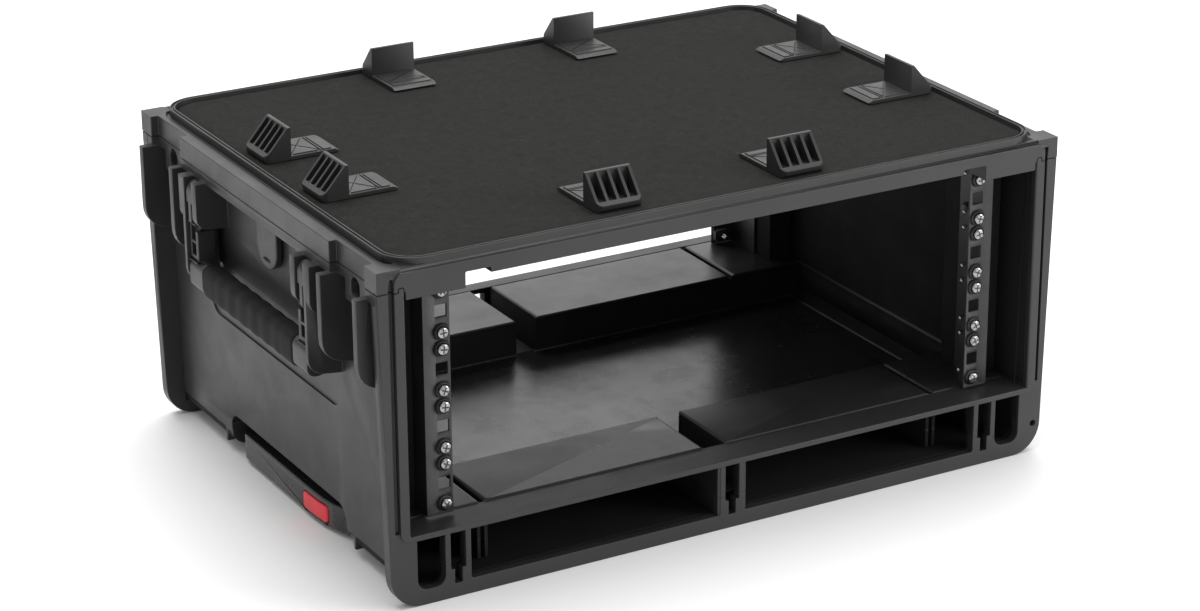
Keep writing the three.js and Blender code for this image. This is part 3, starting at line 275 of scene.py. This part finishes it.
def shell_plastic(name, shine):
    """The shell's plastic: grained outside, with painted shade (a near-black colour, more matt) on the inner
    walls, step sides and pockets of the end bands, and a smoother, scuffed floor and box tops with a painted
    shade line round the dish."""
    build = Nodes(name)
    place = build.add("ShaderNodeSeparateXYZ")
    build.link(build.coordinates(), place.inputs[0])
    across = build.combine("ABSOLUTE", place.outputs["X"], 0.0)
    along = build.combine("ABSOLUTE", place.outputs["Y"], 0.0)
    height = place.outputs["Z"]
    inside = build.within(across, 0, INNER_WALL_X[0])
    within_walls = build.within(across, 0, INNER_WALL_X[1])
    # inner walls, box step sides and end-band pockets: the zone given painted shade and made more matt
    wall = build.combine("MULTIPLY", build.within(across, *INNER_WALL_X), build.within(height, *BAY_Z))
    step = build.combine("MULTIPLY", build.within(height, *BOX_SIDE_Z), within_walls)
    shaded_matt_bay = build.combine("MAXIMUM", wall, step)
    shaded_matt_bay = build.combine("MULTIPLY", shaded_matt_bay, build.within(along, 0, BAY_END_Y))
    pocket = build.combine("MULTIPLY", build.within(height, *POCKET_Z), build.within(along, *POCKET_Y))
    pocket = build.combine("MULTIPLY", pocket, within_walls)
    shaded_matt_bay = build.combine("MAXIMUM", shaded_matt_bay, pocket)
    well = build.combine("MULTIPLY", inside, build.within(height, *WELL_FLOOR_Z))
    tops = build.combine("MULTIPLY", inside, build.within(height, *BOX_TOP_Z))
    floor = build.combine("MAXIMUM", well, tops)
    drift = build.noise(DRIFT_SCALE, 4, 0.6)
    tone = build.ramp(drift, [(0.3, grey(SHELL_TONE * 0.86)), (0.7, grey(SHELL_TONE * 1.14))])
    # painted shade: a near-black colour over the inner walls, step sides and pockets
    tone = build.blend_colour(shaded_matt_bay, tone, grey(PAINTED_SHADE_TONE))
    streaks = build.add("ShaderNodeMapping")
    streaks.inputs["Scale"].default_value = (0.18, 1.0, 1.0)
    build.link(build.coordinates(), streaks.inputs["Vector"])
    scuffs = build.noise(SCUFF_SCALE, 6, 0.7, streaks.outputs["Vector"])
    worn = build.combine("MULTIPLY", floor, build.spread(scuffs, 0, 0.5, 0.52, 0.72))
    tone = build.blend_colour(worn, tone, grey(SCUFF_TONE))
    # painted shade: a near-black line along the rim of the floor's round dish
    rim = build.combine("MULTIPLY", well, dish_rim_shade(build, place))
    tone = build.blend_colour(rim, tone, grey(PAINTED_SHADE_TONE))
    build.link(tone, build.shader.inputs["Base Color"])
    smears = build.spread(build.noise(SMEAR_SCALE, 5, 0.65), 0.36, 0.5)
    gloss = build.combine("ADD", build.combine("MULTIPLY", well, FLOOR_GLOSS),
                          build.combine("MULTIPLY", tops, BOX_GLOSS))
    matt = build.combine("MULTIPLY", shaded_matt_bay, WALL_MATT)
    rough = build.combine("ADD", build.combine("SUBTRACT", smears, gloss), matt)
    build.link(rough, build.shader.inputs["Roughness"])
    build.link(build.bump(build.noise(GRAIN_SCALE, 2, 0.5), GRAIN_DEPTH), build.shader.inputs["Normal"])
    build.shader.inputs["Specular IOR Level"].default_value = shine
    return build.material


def floor_material():
    build = Nodes("pale_floor")
    build.shader.inputs["Base Color"].default_value = (FLOOR_ALBEDO, FLOOR_ALBEDO, FLOOR_ALBEDO, 1)
    build.shader.inputs["Roughness"].default_value = 0.6
    return build.material


def carpet_material():
    """Charcoal needle-punch carpet with stray lighter fibres."""
    build = Nodes("loop_carpet")
    tone = build.noise(160, 6, 0.75)
    base = build.ramp(tone, [(0.3, (0.0045, 0.0043, 0.0033)), (0.7, (0.0135, 0.013, 0.0105))])
    fibres = build.add("ShaderNodeMapping")
    fibres.inputs["Scale"].default_value = (0.4, 1.0, 1.0)
    fibres.inputs["Rotation"].default_value = (0, 0, math.radians(12))
    build.link(build.coordinates(), fibres.inputs["Vector"])
    stray = build.spread(build.noise(520, 2, 0.5, fibres.outputs["Vector"]), 0, 0.8, 0.66, 0.76)
    colour = build.blend_colour(stray, base, (0.045, 0.043, 0.037))
    build.link(colour, build.shader.inputs["Base Color"])
    build.shader.inputs["Roughness"].default_value = 0.95
    build.shader.inputs["Specular IOR Level"].default_value = 0.15
    build.shader.inputs["Sheen Weight"].default_value = 0.03
    build.shader.inputs["Sheen Roughness"].default_value = 0.6
    pile = build.noise(1100, 4, 0.7)
    build.link(build.bump(pile, 0.9 * MM), build.shader.inputs["Normal"])
    return build.material


def rubber_material():
    build = Nodes("grip_rubber")
    tone = build.noise(40, 4, 0.6)
    build.link(build.ramp(tone, [(0.3, grey(0.006)), (0.7, grey(0.011))]), build.shader.inputs["Base Color"])
    build.shader.inputs["Roughness"].default_value = 0.72
    build.shader.inputs["Specular IOR Level"].default_value = 0.18
    build.link(build.bump(build.noise(2600, 2), 0.05 * MM), build.shader.inputs["Normal"])
    return build.material


def painted_steel_material():
    build = Nodes("black_steel")
    tone = build.noise(60, 3, 0.6)
    build.link(build.ramp(tone, [(0.3, grey(0.018)), (0.7, grey(0.03))]), build.shader.inputs["Base Color"])
    build.link(build.spread(build.noise(90, 4), 0.36, 0.5), build.shader.inputs["Roughness"])
    build.link(build.bump(build.noise(3000, 2), 0.03 * MM), build.shader.inputs["Normal"])
    return build.material


def chrome_material():
    build = Nodes("bright_chrome")
    build.shader.inputs["Metallic"].default_value = 1
    tone = build.noise(400, 3, 0.6)
    build.link(build.ramp(tone, [(0.3, (0.24, 0.24, 0.24)), (0.7, (0.42, 0.41, 0.4))]),
               build.shader.inputs["Base Color"])
    build.link(build.spread(build.noise(700, 3), 0.12, 0.26), build.shader.inputs["Roughness"])
    return build.material


def aluminium_material():
    build = Nodes("tube_aluminium")
    build.shader.inputs["Metallic"].default_value = 1
    build.link(build.ramp(build.noise(30, 3), [(0.3, (0.56, 0.57, 0.58)), (0.7, (0.66, 0.67, 0.68))]),
               build.shader.inputs["Base Color"])
    build.link(build.spread(build.noise(300, 4), 0.26, 0.38), build.shader.inputs["Roughness"])
    build.link(build.bump(build.noise(2200, 2), 0.01 * MM), build.shader.inputs["Normal"])
    return build.material


def red_material():
    build = Nodes("red_plastic")
    build.link(build.ramp(build.noise(60, 3), [(0.3, (0.66, 0.02, 0.035)), (0.7, (0.78, 0.03, 0.05))]),
               build.shader.inputs["Base Color"])
    build.link(build.spread(build.noise(200, 4), 0.3, 0.42), build.shader.inputs["Roughness"])
    build.link(build.bump(build.noise(2600, 2), 0.02 * MM), build.shader.inputs["Normal"])
    return build.material


MATERIALS = {
    "moulded_plastic": moulded_plastic("moulded_plastic", 0.015, 0.38, 0.52, GRAIN_SCALE, GRAIN_DEPTH),
    "gloss_plastic": moulded_plastic("gloss_plastic", 0.02, 0.22, 0.34, 2200, 0.015 * MM),
    "black_steel": painted_steel_material(),
    "grip_rubber": rubber_material(),
    "loop_carpet": carpet_material(),
    "red_plastic": red_material(),
    "bright_chrome": chrome_material(),
    "tube_aluminium": aluminium_material(),
}
FRAME_PLASTIC = shell_plastic("frame_plastic", FRAME_SHINE)
SHELL_MATERIALS = {
    "case_tub": shell_plastic("tub_plastic", TUB_SHINE),
    "front_frame": FRAME_PLASTIC,
    "rear_frame": FRAME_PLASTIC,
    "top_frame": FRAME_PLASTIC,
    "deck_panel": FRAME_PLASTIC,
}
SLOT_OF = {part["node"]: part["material_slot"] for part in frame["record"]["subparts"]}
BODY_OF = {node: body for body, members in frame["record"]["behaviour"]["bodies"].items() for node in members}


# ---------------------------------------------------------------- mesh helpers
FLAT_ANGLE = math.radians(0.3)
SLIVER_HEIGHT = 0.01 * MM
EDGE_TRIES = 12
EDGE_REACH = 0.45                   # a rounding leaves the surface by at most this share of its width
SMALLEST = 0.02 * MM


def bridge(work, lower, upper):
    """Faces between two rings of vertices; either ring may be a single point."""
    for step in range(max(len(lower), len(upper))):
        corners = [
            lower[step % len(lower)], lower[(step + 1) % len(lower)],
            upper[(step + 1) % len(upper)], upper[step % len(upper)],
        ]
        corners = list(dict.fromkeys(corners))
        if len(corners) > 2:
            work.faces.new(corners)


def turned(work, profile, segments, place, closed=False):
    """A turned solid: profile is (radius, height) pairs along local Z, from axis to axis or closed."""
    rings = []
    for radius, height in profile:
        count = segments if radius > 0 else 1
        angles = [math.tau * step / count for step in range(count)]
        rings.append([
            work.verts.new(place @ Vector((radius * math.cos(angle), radius * math.sin(angle), height)))
            for angle in angles
        ])
    for lower, upper in zip(rings, rings[1:]):
        bridge(work, lower, upper)
    if closed:
        bridge(work, rings[-1], rings[0])
    return rings


def bar(work, start, end, width, low, high):
    """A straight bar with a flat top between two points in plan."""
    along = (Vector(end) - Vector(start)).normalized()
    across = Vector((-along.y, along.x)) * width / 2
    plan = [Vector(start) - across, Vector(end) - across, Vector(end) + across, Vector(start) + across]
    rings = [[work.verts.new((point.x, point.y, height)) for point in plan] for height in (low, high)]
    bridge(work, *rings)
    work.faces.new(rings[0])
    work.faces.new(rings[1])


def box(work, low, high):
    bar(work, (low[0], (low[1] + high[1]) / 2), (high[0], (low[1] + high[1]) / 2), high[1] - low[1],
        low[2], high[2])


def finished_mesh(name, work):
    bmesh.ops.recalc_face_normals(work, faces=work.faces)
    mesh = bpy.data.meshes.new(name)
    work.to_mesh(mesh)
    work.free()
    return mesh


def smooth_by_angle(mesh, angle=math.radians(35)):
    mesh.polygons.foreach_set("use_smooth", [True] * len(mesh.polygons))
    mesh.set_sharp_from_angle(angle=angle)


def joinable(first, second):
    """True where two faces share a single run of edges and touch nowhere else."""
    shared = set(first.edges) & set(second.edges)
    along = {vert for edge in shared for vert in edge.verts}
    return len(along) == len(shared) + 1 and set(first.verts) & set(second.verts) == along


def is_sliver(face):
    return 2 * face.calc_area() < SLIVER_HEIGHT * max(edge.calc_length() for edge in face.edges)


def joins_flat(edge, slivers):
    """True where the faces on both sides of an edge lie in one plane."""
    if len(edge.link_faces) != 2:
        return False
    thin = [face for face in edge.link_faces if face in slivers]
    if thin:
        longest = max(thin[0].edges, key=lambda item: item.calc_length())
        return len(thin) == 1 and edge is longest
    first, second = edge.link_faces
    return first.normal.angle(second.normal) < FLAT_ANGLE


def merged_copy(node):
    """A clean copy of a CAD mesh: welded, with coplanar triangles joined into simple polygons."""
    work = bmesh.new()
    work.from_mesh(nodes[node].data)
    bmesh.ops.remove_doubles(work, verts=work.verts, dist=0.005 * MM)
    bmesh.ops.dissolve_degenerate(work, dist=0.001 * MM, edges=work.edges)
    slivers = {face for face in work.faces if is_sliver(face)}
    flat = [edge for edge in work.edges if joins_flat(edge, slivers)]
    for edge in sorted(flat, key=lambda item: -item.calc_length()):
        if edge.is_valid and len(edge.link_faces) == 2:
            first, second = edge.link_faces
            if first is not second and joinable(first, second):
                bmesh.utils.face_join((first, second))
    work.normal_update()
    return work


def place_piece(name, mesh, body, slot, stands_for=()):
    piece = bpy.data.objects.new(name, mesh)
    bpy.context.scene.collection.objects.link(piece)
    mesh.materials.clear()
    mesh.materials.append(MATERIALS[slot])
    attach(piece, body)
    if stands_for:
        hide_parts(*stands_for)
    return piece


def stray_corners(piece, reach):
    """Starting corners from which an edge rounding shoots off the piece's own surface."""
    corners = [vert.co.copy() for vert in piece.data.vertices]
    near_corner = kdtree.KDTree(len(corners))
    for index, corner in enumerate(corners):
        near_corner.insert(corner, index)
    near_corner.balance()
    plain = bmesh.new()
    plain.from_mesh(piece.data)
    bmesh.ops.triangulate(plain, faces=plain.faces)
    surface = bvhtree.BVHTree.FromBMesh(plain)
    plain.free()
    rounded = piece.evaluated_get(bpy.context.evaluated_depsgraph_get()).to_mesh()
    low = [min(corner[axis] for corner in corners) - SMALLEST for axis in range(3)]
    high = [max(corner[axis] for corner in corners) + SMALLEST for axis in range(3)]
    off = {
        vert.index for vert in rounded.vertices
        if surface.find_nearest(vert.co)[3] > reach
        or any(not low[axis] < vert.co[axis] < high[axis] for axis in range(3))
    }
    found = set()
    for edge in rounded.edges:
        first, second = edge.vertices
        if (first in off) != (second in off):
            settled = second if first in off else first
            found.add(near_corner.find(rounded.vertices[settled].co)[1])
    return found


def round_edges(piece, width, segments=2, angle=30, weight=None):
    """Rounds a piece's sharp edges; weight(middle of edge) scales the width where it is given.

    Corners where the rounding would break out of the surface are left sharp."""
    mesh = piece.data
    smooth_by_angle(mesh)
    bevel = piece.modifiers.new("edges", "BEVEL")
    bevel.width = width
    bevel.segments = segments
    bevel.limit_method = "WEIGHT"
    bevel.use_clamp_overlap = False
    bevel.miter_outer = "MITER_ARC"
    bevel.harden_normals = True
    work = bmesh.new()
    work.from_mesh(mesh)
    layer = work.edges.layers.float.new("bevel_weight_edge")
    for edge in work.edges:
        if len(edge.link_faces) == 2 and edge.calc_face_angle(0) > math.radians(angle):
            edge[layer] = weight((edge.verts[0].co + edge.verts[1].co) / 2) if weight else 1.0
    work.to_mesh(mesh)
    for _ in range(EDGE_TRIES):
        bpy.context.view_layer.update()
        stray = stray_corners(piece, width * EDGE_REACH)
        if not stray:
            break
        work.verts.ensure_lookup_table()
        for index in stray:
            for edge in work.verts[index].link_edges:
                edge[layer] = 0.0
        work.to_mesh(mesh)
    work.free()


def refine(node, width, segments=2, angle=30, weight=None):
    """A rounded-edge stand-in for one CAD node."""
    mesh = finished_mesh(node + "_look", merged_copy(node))
    piece = place_piece(node + "_look", mesh, BODY_OF[node], SLOT_OF[node], [node])
    if node in SHELL_MATERIALS:
        mesh.materials[0] = SHELL_MATERIALS[node]
    round_edges(piece, width, segments, angle, weight)
    return piece


# ---------------------------------------------------------------- shell
RIDGE_FACE = 212 * MM
OPENING_X = 271 * MM
BOX_TOP = 58 * MM
BOX_EDGES_X = (9.5 * MM, 198 * MM, 201 * MM)
CLOSE = 0.3 * MM
WIDE_EDGE = 2.6 * MM
SMALL_EDGE = 0.22                   # share of the wide edge given to ordinary edges
RIDGE_EDGE = 0.6


def near(value, target):
    return abs(abs(value) - target) < CLOSE


def frame_edge_weight(middle):
    """The floor boxes' sides and the door ridge have generous mould radii; the rest is crisp."""
    on_box_top = abs(middle.z - BOX_TOP) < CLOSE
    if on_box_top and any(near(middle.x, x) for x in BOX_EDGES_X):
        return 1.0
    if near(middle.y, RIDGE_FACE) and near(middle.x, OPENING_X):
        return RIDGE_EDGE
    return SMALL_EDGE


def make_shell():
    refine("case_tub", 0.6 * MM)
    for name in ("front_frame", "rear_frame"):
        refine(name, WIDE_EDGE, 3, weight=frame_edge_weight)
    refine("top_frame", 0.7 * MM)
    refine("pressure_valve", 1.3 * MM, 3)
    refine("pull_bezel", 0.4 * MM)


# ---------------------------------------------------------------- carpet
CARPET_STEP = 3 * MM
CARPET_CORNER = 21 * MM
CARPET_ROLL = 90                    # noise scales, per metre: soft rolls, then pile
CARPET_PILE = 420
PILE_LIFT = 0.3 * MM
PILE_EDGE = 0.7 * MM


def corner_rounded(point, half, radius):
    """Moves a point of a square-cornered grid so that the outline gets round corners."""
    inset = Vector((max(abs(point.x) - half.x + radius, 0), max(abs(point.y) - half.y + radius, 0)))
    if inset.x == 0 or inset.y == 0:
        return point
    reach = max(inset.x, inset.y)
    moved = inset.normalized() * reach
    return Vector((
        math.copysign(half.x - radius + moved.x, point.x),
        math.copysign(half.y - radius + moved.y, point.y),
    ))


def make_carpet():
    """The needle-punch panel: a pile surface that rolls gently and turns down at its cut edge."""
    corners = [Vector(corner) for corner in nodes["carpet"].bound_box]
    low = Vector([min(corner[axis] for corner in corners) for axis in range(3)])
    high = Vector([max(corner[axis] for corner in corners) for axis in range(3)])
    half = Vector((high.x, high.y))
    columns = round(2 * half.x / CARPET_STEP)
    rows = round(2 * half.y / CARPET_STEP)
    work = bmesh.new()
    grid = []
    for row in range(rows + 1):
        line = []
        for column in range(columns + 1):
            plan = Vector((half.x * (2 * column / columns - 1), half.y * (2 * row / rows - 1)))
            plan = corner_rounded(plan, half, CARPET_CORNER)
            edge = row in (0, rows) or column in (0, columns)
            roll = noise.noise(Vector((plan.x, plan.y, 0)) * CARPET_ROLL)
            pile = roll + noise.noise(Vector((plan.x, plan.y, 1)) * CARPET_PILE)
            height = high.z - PILE_LIFT + PILE_LIFT * pile / 2 - (PILE_EDGE if edge else 0)
            line.append(work.verts.new((plan.x, plan.y, height)))
        grid.append(line)
    for lower, upper in zip(grid, grid[1:]):
        for column in range(columns):
            work.faces.new((lower[column], lower[column + 1], upper[column + 1], upper[column]))
    rim = (grid[0][:-1] + [line[-1] for line in grid[:-1]] + grid[-1][:0:-1]
           + [line[0] for line in reversed(grid[1:])])
    foot = [work.verts.new((vert.co.x, vert.co.y, low.z)) for vert in rim]
    bridge(work, rim, foot)
    work.faces.new(foot)
    mesh = finished_mesh("carpet_look", work)
    smooth_by_angle(mesh, math.radians(50))
    piece = place_piece("carpet_look", mesh, "case", "loop_carpet", ["carpet"])


# ---------------------------------------------------------------- cleats
PAD_TOP = 3.0 * MM
PAD_RISE = 0.8 * MM
PAD_SINK = 0.5 * MM
PAD_HALF = 17.2 * MM
PAD_GROOVE = 0.6 * MM               # half the width of the grooves between the raised fields
CROSS_START = 1.0 * MM
CROSS_END = 24.5 * MM
TAB_START = 27.0 * MM
TAB_END = 35.0 * MM
WALL_HALF = 1.3 * MM
CLEAT_EDGE = 0.3 * MM


def cleat_frame(node):
    """Foot of the cleat's wall, the direction its pad runs in, and the sideways direction."""
    points = [Vector(vertex.co) for vertex in nodes[node].data.vertices]
    low = Vector([min(point[axis] for point in points) for axis in range(3)])
    high = Vector([max(point[axis] for point in points) for axis in range(3)])
    middle = (low + high) / 2
    crest = [point for point in points if point.z > high.z - 0.1 * MM]
    wall = Vector([(min(p[axis] for p in crest) + max(p[axis] for p in crest)) / 2 for axis in range(2)])
    away = Vector((middle.x, middle.y)) - wall
    if abs(away.x) > abs(away.y):
        along = Vector((math.copysign(1, away.x), 0))
    else:
        along = Vector((0, math.copysign(1, away.y)))
    return wall + along * WALL_HALF, along, Vector((-along.y, along.x)), low.z


def inset_field(work, outline, inset, low, high):
    """A raised field: a convex outline in plan, drawn in on every side by inset."""
    middle = sum(outline, Vector((0, 0))) / len(outline)
    lines = []
    for start, end in zip(outline, outline[1:] + outline[:1]):
        along = (end - start).normalized()
        inward = Vector((-along.y, along.x))
        if inward.dot(middle - start) < 0:
            inward = -inward
        lines.append((start + inward * inset, along))
    plan = []
    for (start, along), (other, direction) in zip(lines, lines[1:] + lines[:1]):
        span = along.x * direction.y - along.y * direction.x
        gap = other - start
        plan.append(start + along * ((gap.x * direction.y - gap.y * direction.x) / span))
    rings = [[work.verts.new((point.x, point.y, height)) for point in plan] for height in (low, high)]
    bridge(work, *rings)
    work.faces.new(rings[0])
    work.faces.new(rings[1])


def make_cleat(number):
    """A cleat with the crossed grooves and the raised tab of its pad."""
    node = f"cleat_{number}"
    foot, along, across, base = cleat_frame(node)
    work = merged_copy(node)

    def spot(side, run):
        return foot + across * side + along * run

    corners = [spot(-PAD_HALF, CROSS_START), spot(PAD_HALF, CROSS_START),
               spot(PAD_HALF, CROSS_END), spot(-PAD_HALF, CROSS_END)]
    centre = spot(0, (CROSS_START + CROSS_END) / 2)
    fields = [[first, second, centre] for first, second in zip(corners, corners[1:] + corners[:1])]
    fields.append([spot(-PAD_HALF, CROSS_END), spot(PAD_HALF, CROSS_END),
                   spot(PAD_HALF, TAB_START), spot(-PAD_HALF, TAB_START)])
    fields.append([spot(-PAD_HALF, TAB_START), spot(PAD_HALF, TAB_START),
                   spot(PAD_HALF, TAB_END), spot(-PAD_HALF, TAB_END)])
    for outline in fields:
        inset_field(work, outline, PAD_GROOVE, base + PAD_TOP - PAD_SINK, base + PAD_TOP + PAD_RISE)
    mesh = finished_mesh(node + "_look", work)
    piece = place_piece(node + "_look", mesh, BODY_OF[node], SLOT_OF[node], [node])
    round_edges(piece, CLEAT_EDGE)


# ---------------------------------------------------------------- rack hardware
RAIL_HOLE_X = 232.55 * MM
RAIL_FACE_Y = 190 * MM
RAIL_SHEET = 2 * MM
BAY_BOTTOM = 60.5 * MM
RACK_UNIT = 44.45 * MM
RACK_UNITS = 4
SCREW_OFFSETS = (6.35 * MM, 38.1 * MM)
# Profiles are (radius, height) and the cross sizes are lengths, all in millimetres.
CUP_WASHER = [(3.2, 0.2), (6.2, 0.2), (6.2, 0.8), (5.7, 1.9), (5.0, 2.4), (4.4, 1.7), (3.2, 1.0)]
SCREW_SHANK = [(0, -16.5), (2.2, -16), (2.6, -14), (2.6, 1.2),
               (3.9, 1.5), (4.5, 2.6), (4.4, 3.4), (3.9, 4.0)]
CROSS_ARM = 2.8
CROSS_HALF = 0.6
CROSS_DEPTH = 1.8
CROSS_SHADE = 0.25
HEAD_CREST = 4.35
SCREW_SEGMENTS = 24


def scaled(profile):
    return [(radius * MM, height * MM) for radius, height in profile]


def facing(x, end, z, turn):
    """Placement with local Z pointing out of the rail face at the given end."""
    tilt = Matrix.Rotation(-end * math.radians(90), 4, "X")
    return Matrix.Translation((x, end * RAIL_FACE_Y, z)) @ tilt @ Matrix.Rotation(turn, 4, "Z")


def cross_ring(work, place, arm, half, height):
    corners = [(half, half), (half, arm), (-half, arm), (-half, half), (-arm, half), (-arm, -half),
               (-half, -half), (-half, -arm), (half, -arm), (half, -half), (arm, -half), (arm, half)]
    return [work.verts.new(place @ (Vector((x, y, height)) * MM)) for x, y in corners]


def ring_edges(work, ring):
    edges = []
    for first, second in zip(ring, ring[1:] + ring[:1]):
        edges.append(work.edges.get((first, second)) or work.edges.new((first, second)))
    return edges


def cross_head_screw(work, place):
    """A panel screw whose domed head has a tapered cross recess."""
    rings = turned(work, scaled(SCREW_SHANK), SCREW_SEGMENTS, place)
    mouth = cross_ring(work, place, CROSS_ARM, CROSS_HALF, HEAD_CREST)
    floor = cross_ring(work, place, CROSS_ARM * 0.5, CROSS_HALF * 0.8, HEAD_CREST - CROSS_DEPTH)
    bridge(work, mouth, floor)
    work.faces.new(floor)
    crown = ring_edges(work, rings[-1]) + ring_edges(work, mouth)
    bmesh.ops.triangle_fill(work, edges=crown, use_beauty=True)


def cross_recess_shade(work, place):
    """A black plug filling the bottom of the cross recess: painted shade for the recess's dark depth."""
    low = cross_ring(work, place, CROSS_ARM * 0.98, CROSS_HALF * 0.98, HEAD_CREST - CROSS_DEPTH)
    high = cross_ring(work, place, CROSS_ARM * 0.98, CROSS_HALF * 0.98, HEAD_CREST - CROSS_SHADE)
    bridge(work, low, high)
    work.faces.new(low)
    work.faces.new(high)


def rail_places():
    """(x side, end, height) of every fitted rail screw."""
    for side in (-1, 1):
        for end in (-1, 1):
            for unit in range(RACK_UNITS):
                for offset in SCREW_OFFSETS:
                    yield side, end, BAY_BOTTOM + unit * RACK_UNIT + offset


def cage_nut(work, x, end, z):
    """Spring cage with its square nut, clipped behind the rail."""
    back = RAIL_FACE_Y - RAIL_SHEET - 0.3 * MM
    cage_plate = (6.6 * MM, back, back - 1.2 * MM)
    nut = (5.2 * MM, back - 1.0 * MM, back - 6 * MM)
    for half, near_face, far_face in (cage_plate, nut):
        low_y, high_y = sorted((end * near_face, end * far_face))
        box(work, (x - half, low_y, z - half), (x + half, high_y, z + half))
    for side in (-1, 1):
        wing = x + side * 6.0 * MM
        low_y, high_y = sorted((end * back, end * (back - 5 * MM)))
        box(work, (wing - 0.5 * MM, low_y, z - 4 * MM), (wing + 0.5 * MM, high_y, z + 4 * MM))


def make_rack_hardware():
    draw = random.Random(5)
    screws = {-1: bmesh.new(), 1: bmesh.new()}
    rear_screws = bmesh.new()
    washers_and_recess_shade = bmesh.new()
    cages = bmesh.new()
    for side, end, z in rail_places():
        place = facing(side * RAIL_HOLE_X, end, z, draw.uniform(0, math.pi / 2))
        cross_head_screw(screws[side] if end < 0 else rear_screws, place)
        turned(washers_and_recess_shade, scaled(CUP_WASHER), SCREW_SEGMENTS, place, closed=True)
        # painted shade: a black steel plug in each chrome screw's cross recess, kept in the washers' mesh
        cross_recess_shade(washers_and_recess_shade, place)
        cage_nut(cages, side * RAIL_HOLE_X, end, z)
    for label, side in (("left", -1), ("right", 1)):
        stands_for = [f"rack_screw_{label}_{number}" for number in range(1, 9)]
        mesh = finished_mesh(f"rack_screws_{label}", screws[side])
        smooth_by_angle(mesh)
        place_piece(f"rack_screws_{label}", mesh, "case", "bright_chrome", stands_for)
    for name, work, slot in (("rack_screws_rear", rear_screws, "bright_chrome"),
                             ("cup_washers_and_recess_shade", washers_and_recess_shade, "black_steel"), ("cage_nuts", cages, "black_steel")):
        mesh = finished_mesh(name, work)
        smooth_by_angle(mesh)
        place_piece(name, mesh, "case", slot)


def make_rails():
    for end in ("front", "rear"):
        for side in ("left", "right"):
            refine(f"rack_rail_{end}_{side}", 0.25 * MM, 1)


# ---------------------------------------------------------------- carry handle
GRIP_X = -291.5 * MM
GRIP_LOW = 147 * MM
GRIP_HIGH = 173 * MM
GRIP_DEPTH = 8.6 * MM
GRIP_HALF_LENGTH = 81.7 * MM
FINGER_PITCH = 21 * MM
FINGER_SPAN = 64 * MM
FINGER_DEPTH = 0.5 * MM
GRIP_RINGS = 150
GRIP_SEGMENTS = 36
GRIP_POWER = 0.55


def rounded_power(value):
    return math.copysign(abs(value) ** GRIP_POWER, value)


def grip_ring(work, y, shrink):
    """One cross-section of the rubber grip: a soft rectangle, drawn in by shrink."""
    middle = (GRIP_LOW + GRIP_HIGH) / 2
    half = (GRIP_HIGH - GRIP_LOW) / 2
    ring = []
    for step in range(GRIP_SEGMENTS):
        angle = math.tau * step / GRIP_SEGMENTS
        x = GRIP_X + (GRIP_DEPTH - shrink) * rounded_power(math.cos(angle))
        z = middle + (half - shrink) * rounded_power(math.sin(angle))
        ring.append(work.verts.new((x, y, z)))
    return ring


def make_carry_grip():
    """The moulded rubber sleeve, with shallow finger waves and turned-in ends."""
    work = bmesh.new()
    rings = []
    for step in range(GRIP_RINGS + 1):
        y = GRIP_HALF_LENGTH * (2 * step / GRIP_RINGS - 1)
        wave = 0.5 - 0.5 * math.cos(math.tau * y / FINGER_PITCH + math.pi)
        fade = max(0.0, min(1.0, (FINGER_SPAN - abs(y)) / (8 * MM)))
        end = max(0.0, abs(y) - GRIP_HALF_LENGTH + 2.5 * MM)
        rings.append(grip_ring(work, y, FINGER_DEPTH * wave * fade + end * end / (4 * MM)))
    for lower, upper in zip(rings, rings[1:]):
        bridge(work, lower, upper)
    work.faces.new(rings[0])
    work.faces.new(rings[-1])
    mesh = finished_mesh("carry_grip_look", work)
    smooth_by_angle(mesh, math.radians(50))
    place_piece("carry_grip_look", mesh, "carry_handle", "grip_rubber", ["carry_grip"])


def make_handles():
    refine("carry_handle", 0.6 * MM)
    make_carry_grip()
    refine("pull_grip", 1.8 * MM, 4)
    refine("release_button", 1.3 * MM, 4)


def make_wheels():
    for end in ("front", "rear"):
        refine(f"wheel_tyre_{end}", 1.0 * MM, 3)
        refine(f"wheel_hub_{end}", 0.6 * MM)


# ---------------------------------------------------------------- assembly
make_camera()
make_studio()
make_floor()
for name, node in nodes.items():
    node.data.materials.clear()
    node.data.materials.append(SHELL_MATERIALS.get(name, MATERIALS[SLOT_OF[name]]))
make_shell()
make_carpet()
for number in range(1, 9):
    make_cleat(number)
make_rails()
make_rack_hardware()
make_handles()
make_wheels()
